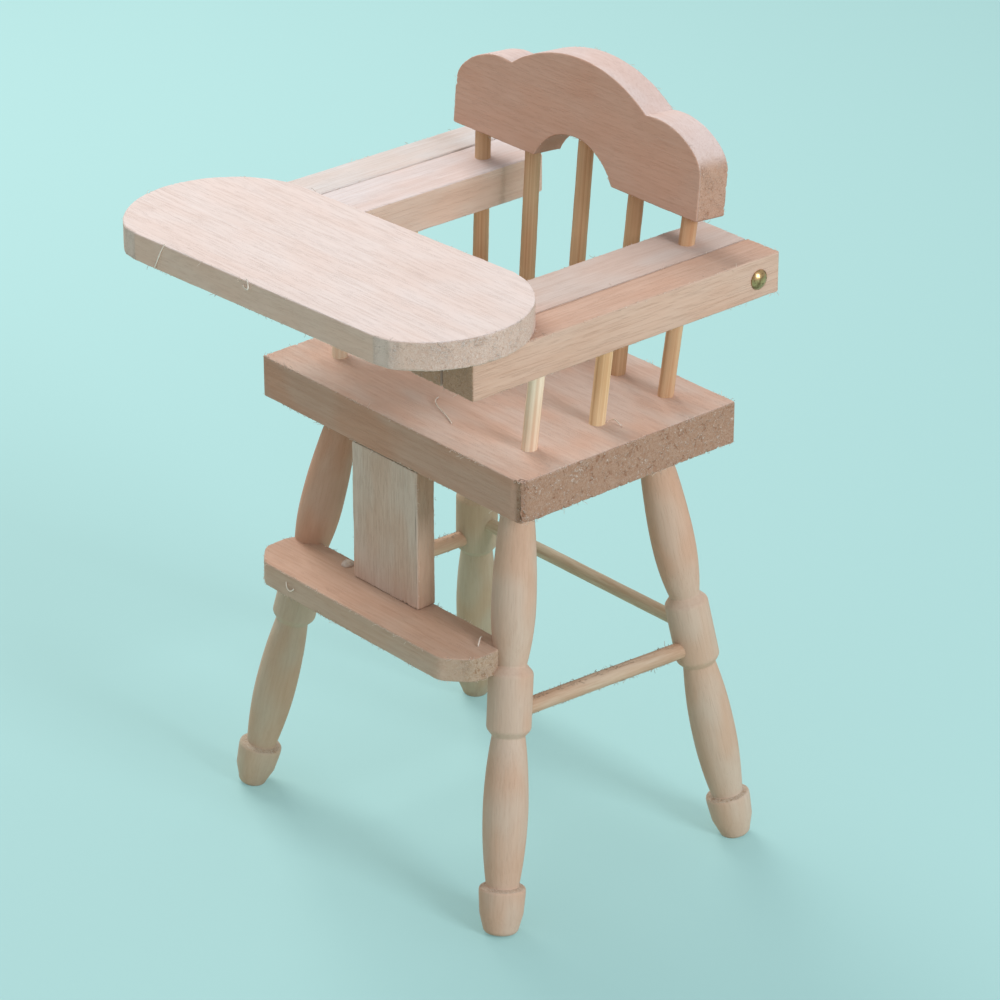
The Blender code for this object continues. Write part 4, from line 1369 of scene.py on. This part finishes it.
# %% [markdown]
# ## A drop of glue
# A drop of glue fell on the footrest and dried as a small dome beside the panel's left foot. It is turned on
# the lathe too, with a strong wobble, so that it isn't round.

# %% Let the drop dry
DROP_RADIUS = 0.72 * MM
DROP_HEIGHT = 0.55 * MM
DROP_BESIDE = 2.65 * MM
DROP_BEHIND = 1.25 * MM
DROP_STEPS = 8
DROP_LATHE = {"Sides": 24, "Wobble": 0.12 * MM, "Wobble length": DROP_RADIUS}


def drop_profile():
    """(radius, height) from the top of the drop to the middle of its foot."""
    angles = [math.pi / 2 * step / DROP_STEPS for step in range(DROP_STEPS + 1)]
    return [(DROP_RADIUS * math.sin(a), DROP_HEIGHT * math.cos(a)) for a in angles] + [(0, 0)]


drop_x = panel_low.x - PANEL_SHIFT - DROP_BESIDE
drop_foot = Matrix.Translation((drop_x, panel_low.y + DROP_BEHIND, footrest_high.z))
turned("glue_drop", drop_profile(), DROP_LATHE, drop_foot, DRIED_GLUE, [])

# %% [markdown]
# ## Loose fibres
# The saw and the sandpaper leave the edges hairy: pale fibres stand up in patches, most of them far shorter
# than a millimetre and a few long enough to curl. They follow the edges, so the tree takes the rims of the
# boards as its guide, throws away most places by a patchy noise, and puts a small bent hair at each place
# that is left. Every random choice has its own salt, which is added to the seed.

# %% The fibre tree
FIBRE_INPUTS = [
    ("Spacing", "Float", 0.12 * MM),
    ("Share kept", "Float", 0.6),
    ("Shortest", "Float", 0.13 * MM),
    ("Longest", "Float", 0.7 * MM),
    ("Thickness", "Float", 0.025 * MM),
    ("Seed", "Int", 1),
    ("Material", "Material", None),
]
PATCHES_PER_METRE = 420.0
FIBRE_BEND = {"Start": (0, 0, 0), "Middle": (0.1, 0.0, 0.6), "End": (0.45, 0.1, 0.9)}
FIBRE_SCATTER = 0.08 * MM
FIBRE_STEPS = 5
FIBRE_SIDES = 3
KEPT_SALT = 0
SCATTER_SALT = 11
LENGTH_SALT = 23
TURN_SALT = 37


def fibre_tree():
    tree, maker, given = new_tree("fibres", FIBRE_INPUTS)

    def luck(low, high, salt, kind="FLOAT"):
        names = {"FLOAT": ("Min_001", "Max_001", 1), "FLOAT_VECTOR": ("Min", "Max", 0)}[kind]
        sockets = {names[0]: low, names[1]: high, "Seed": given["Seed"] + salt}
        return maker.number("FunctionNodeRandomValue", {"data_type": kind}, sockets, names[2])

    rim = maker.out("GeometryNodeMeshToCurve", None, {0: given["Geometry"]})
    sockets = {"Curve": rim, "Length": given["Spacing"]}
    places = maker.out("GeometryNodeCurveToPoints", {"mode": "LENGTH"}, sockets)
    patch = maker.noise(position(maker), PATCHES_PER_METRE)
    keen = given["Share kept"] * patch.between(0.42, 0.62, 0.1, 2.0)
    sockets = {"A": luck(0.0, 1.0, KEPT_SALT), "B": keen}
    lost = maker.out("FunctionNodeCompare", {"operation": "GREATER_THAN"}, sockets)
    sockets = {"Geometry": places, "Selection": lost}
    places = maker.out("GeometryNodeDeleteGeometry", {"domain": "POINT"}, sockets)
    scatter = luck((-FIBRE_SCATTER,) * 3, (FIBRE_SCATTER,) * 3, SCATTER_SALT, "FLOAT_VECTOR")
    places = moved(maker, places, Offset=scatter)
    hair = maker.out("GeometryNodeCurveQuadraticBezier", None, {"Resolution": FIBRE_STEPS, **FIBRE_BEND})
    rare = luck(0.0, 1.0, LENGTH_SALT)
    rare = rare * rare * rare
    length = given["Shortest"] + (given["Longest"] - given["Shortest"]) * rare * rare
    low, high = (-math.pi, -math.pi, 0.0), (math.pi, math.pi, math.tau)
    turn = luck(low, high, TURN_SALT, "FLOAT_VECTOR")
    sockets = {"Points": places, "Instance": hair, "Rotation": turn, "Scale": length}
    hairs = maker.out("GeometryNodeInstanceOnPoints", None, sockets)
    hairs = maker.out("GeometryNodeRealizeInstances", None, {"Geometry": hairs})
    sockets = {"Resolution": FIBRE_SIDES, "Radius": given["Thickness"]}
    ring = maker.out("GeometryNodeCurvePrimitiveCircle", None, sockets)
    sockets = {"Curve": hairs, "Profile Curve": ring, "Fill Caps": True}
    end_tree(maker, maker.out("GeometryNodeCurveToMesh", None, sockets), given["Material"])
    return tree


FIBRES = fibre_tree()
print("fibre tree:", len(FIBRES.nodes), "nodes")

# %% [markdown]
# The seat and the footrest were sawn most roughly, so they have the most fibres. The tray swings, so the
# fibres of its boards are a piece of their own that rides on it.

# %% Grow the fibres
FIBRE_WOOD = wood("fibre_wood", (0.88, 0.76, 0.66), (0.8, 0.7, 0.6), "Z", (0.3, 0.1, 0.2))
ROUGH_BOARDS = ["seat_board", "footrest_board"]
TRAY_BOARDS = ["tray_board", "left_tray_bar", "right_tray_bar"]
SMOOTH_BOARDS = [name for name in rims if name not in ROUGH_BOARDS + TRAY_BOARDS]
for name, boards, body, seed, kept in (
    ("rough_board_fibres", ROUGH_BOARDS, "chair", 4, 0.4),
    ("smooth_board_fibres", SMOOTH_BOARDS, "chair", 5, 0.12),
    ("tray_fibres", TRAY_BOARDS, "tray_frame", 9, 0.15),
):
    guide = chains(name, [rim for board_name in boards for rim in rims[board_name]], closed=True)
    fibres = grown(name, guide, FIBRES, {"Seed": seed, "Share kept": kept, "Material": FIBRE_WOOD})
    finished(fibres, FIBRE_WOOD, body, [])

# %% [markdown]
# The side stretchers were split rather than turned, so they are furry, most of all on their upper sides. The
# same tree grows this fur along four lines on each stretcher, denser than on the boards.

# %% Fur on the side stretchers
FUR_SIDES = [math.radians(angle) for angle in (-60, -20, 20, 160)]
FUR_GROWTH = {"Seed": 21, "Share kept": 1.0, "Spacing": 0.08 * MM, "Longest": 0.75 * MM}
FUR_WOOD = wood("fur_wood", (0.55, 0.43, 0.33), (0.5, 0.4, 0.3), "Z", (0.4, 0.1, 0.2))


def beside(line, radius, angle):
    """The line moved out to the surface of its dowel, by an angle from straight up."""
    way = (line[1] - line[0]).normalized()
    level = way.cross(Vector((0, 0, 1))).normalized()
    out = level.cross(way) * math.cos(angle) + level * math.sin(angle)
    return [point + out * radius for point in line]


fur_lines = [beside(line, SIDE_STRETCHER_RADIUS, angle) for line in side_lines for angle in FUR_SIDES]
guide = chains("stretcher_fur", fur_lines)
fur = grown("stretcher_fur", guide, FIBRES, {**FUR_GROWTH, "Material": FUR_WOOD})
finished(fur, FUR_WOOD, "chair", [])

# %% [markdown]
# A few single hairs are long enough to see: two hang over the tray's front edge, one of them curled, and
# others lie on the footrest and the seat. Four points draw the soft curve of each, and the dowel tree makes a
# very thin dowel along it.

# %% Single hairs
HAIR_DOWEL = {"Radius": 0.075 * MM, "Sides": 6, "Step": 0.1 * MM, "Wobble": 0.02 * MM}
HAIR_STEPS = 12
# The hairs' wood is paler than the fibres', partly as their own colour and partly as painted light, since the
# seat's hair lies in the tray's shade.
HAIR_WOOD_WITH_PAINTED_LIGHT = wood("hair_painted_light_wood", (0.95, 0.88, 0.80), (0.9, 0.8, 0.7), "Z", (0.3, 0.4, 0.2))
tray_edge = Vector((0, tray_low.y, tray_high.z))
footrest_edge = Vector((0, footrest_low.y, footrest_high.z))
seat_middle = Vector((0, 0, seat_high.z))
TRAY_HAIRS = [
    [(-14.0, 0.1, 0.1), (-14.4, -0.25, -0.7), (-15.0, -0.2, -2.0), (-15.6, -0.1, -3.0)],
    [(-0.85, 0.2, 0.1), (0.2, -0.4, -0.35), (0.1, -0.4, -1.2), (-1.15, -0.15, -0.6)],
]
CHAIR_HAIRS = [
    (footrest_edge, [(-11.9, 0.0, -1.0), (-11.6, -0.3, -1.6), (-11.0, -0.3, -2.2), (-10.4, -0.1, -1.3)]),
    (footrest_edge, [(14.2, 6.6, 0.1), (14.6, 6.0, 0.6), (15.1, 5.4, 0.5), (15.6, 4.8, 0.1)]),
    (seat_middle, [(-0.2, -0.3, 0.1), (0.6, -2.4, 0.3), (3.4, -2.4, 0.3), (5.9, -3.6, 0.1)]),
    (seat_middle, [(16.6, 9.6, 0.0), (17.4, 10.2, 0.7), (18.0, 9.4, 0.6), (18.6, 9.9, 0.1)]),
]


def soft_curve(origin, corners, askew=Matrix.Identity(4)):
    """Points of one Bezier curve. Its corners are in millimetres from an origin."""
    corners = [askew @ (origin + MM * Vector(corner)) for corner in corners]
    points = []
    for step in range(HAIR_STEPS + 1):
        row = corners
        while len(row) > 1:
            row = [low.lerp(high, step / HAIR_STEPS) for low, high in zip(row, row[1:])]
        points.append(row[0])
    return points


hairs_of = {
    "tray_frame": [soft_curve(tray_edge, hair, tray_askew) for hair in TRAY_HAIRS],
    "chair": [soft_curve(origin, hair) for origin, hair in CHAIR_HAIRS],
}
for body, curves in hairs_of.items():
    name = body + "_hairs"
    hairs = grown(name, chains(name, curves), DOWELS, {**HAIR_DOWEL, "Material": HAIR_WOOD_WITH_PAINTED_LIGHT})
    finished(hairs, HAIR_WOOD_WITH_PAINTED_LIGHT, body, [])

# %% [markdown]
# ## The floor
# The floor is one large plane in a pale sea green. It throws a paler light back at the wood than its own
# colour, as a small card on a wooden table would. The photographed shadows are very light, so a part of the
# floor's colour doesn't depend on the lamps. Only the camera and mirrors see that part, so it lights nothing.

# %% Floor
FLOOR_HALF = 1.5
CARD_COLOUR = (0.41, 0.665, 0.655)
CARD_BOUNCE = (0.47, 0.60, 0.52)
CARD_LEVEL = (0.44, 0.735, 0.72)
EVEN_SHARE = 0.3
BLACK = (0, 0, 0)
floor_corners = [Vector((*corner, 0)) for corner in rectangle(-1, -1, 1, 1)]
floor_mesh = new_mesh("floor", floor_corners, [], [(0, 1, 2, 3)], {})
floor_mesh.transform(Matrix.Scale(FLOOR_HALF, 4))
floor = in_scene("floor", floor_mesh)
floor_material, floor_maker, floor_shader = new_material("floor_card")
rays = floor_maker.node("ShaderNodeLightPath").outputs
seen = Number(floor_maker, rays["Is Camera Ray"]) + Number(floor_maker, rays["Is Glossy Ray"])
seen = seen + Number(floor_maker, rays["Is Transmission Ray"])
lit = tuple((1 - EVEN_SHARE) * part for part in CARD_COLOUR)
even = tuple(EVEN_SHARE * part for part in CARD_LEVEL)
floor_maker.feed(floor_shader, {
    "Base Color": floor_maker.mixed(seen, CARD_BOUNCE, lit),
    "Emission Color": floor_maker.mixed(seen, BLACK, even),
    "Emission Strength": 1.0,
    "Roughness": 0.8,
    "Specular IOR Level": 0.2,
})
floor_mesh.materials.append(floor_material)
print("floor laid")

# %% [markdown]
# ## The light
# Two small soft lamps stand close to the chair: a low one on the right, which lights the right-hand faces and
# throws long shadows to the left, and a higher one on the left and a little behind. The front faces see
# neither, so an even pale sky fills them.

# %% Light
SKY_COLOUR = (0.91, 0.98, 1.0)
SKY_STRENGTH = 0.55
LIT_PLACE = Vector((0, 0, 0.04))
WINDOWS = [
    ("right_window", Vector((0.467, 0.037, 0.266)), 0.15, 1.30, (0.925, 0.95, 1.0)),
    ("left_window", Vector((-0.3135, 0.0724, 0.340)), 0.24, 1.19, (1.0, 0.95, 0.92)),
]

world = bpy.data.worlds.new("studio")
world.use_nodes = True
world.node_tree.nodes["Background"].inputs["Color"].default_value = (*SKY_COLOUR, 1.0)
world.node_tree.nodes["Background"].inputs["Strength"].default_value = SKY_STRENGTH
bpy.context.scene.world = world
for name, place, size, power, colour in WINDOWS:
    lamp = bpy.data.lights.new(name, "AREA")
    lamp.shape = "SQUARE"
    lamp.size = size
    lamp.energy = power
    lamp.color = colour
    window = in_scene(name, lamp)
    window.location = place
    window.rotation_mode = "QUATERNION"
    window.rotation_quaternion = (LIT_PLACE - place).to_track_quat("-Z", "Y")
bpy.context.scene.view_settings.view_transform = "Standard"
print("lamps:", len(WINDOWS))

# %% [markdown]
# ## The camera
# The picture looks down on the chair's front right corner through a long lens. The camera stands where the
# edges of the boards and the feet line up with the photographed ones.

# %% Camera
CAMERA_PLACE = Vector((0.32762, -0.27770, 0.25226))
CAMERA_AZIMUTH = math.radians(48.856)
CAMERA_ELEVATION = math.radians(26.137)
LENS = 154.36
SENSOR = 36.0
NEAREST_SEEN = 20 * MM

camera_data = bpy.data.cameras.new("camera")
camera_data.lens = LENS
camera_data.sensor_width = SENSOR
camera_data.clip_start = NEAREST_SEEN
camera = in_scene("camera", camera_data)
camera.location = CAMERA_PLACE
camera.rotation_euler = (math.pi / 2 - CAMERA_ELEVATION, 0, CAMERA_AZIMUTH)
bpy.context.scene.camera = camera
print("camera at", [round(value, 3) for value in CAMERA_PLACE])
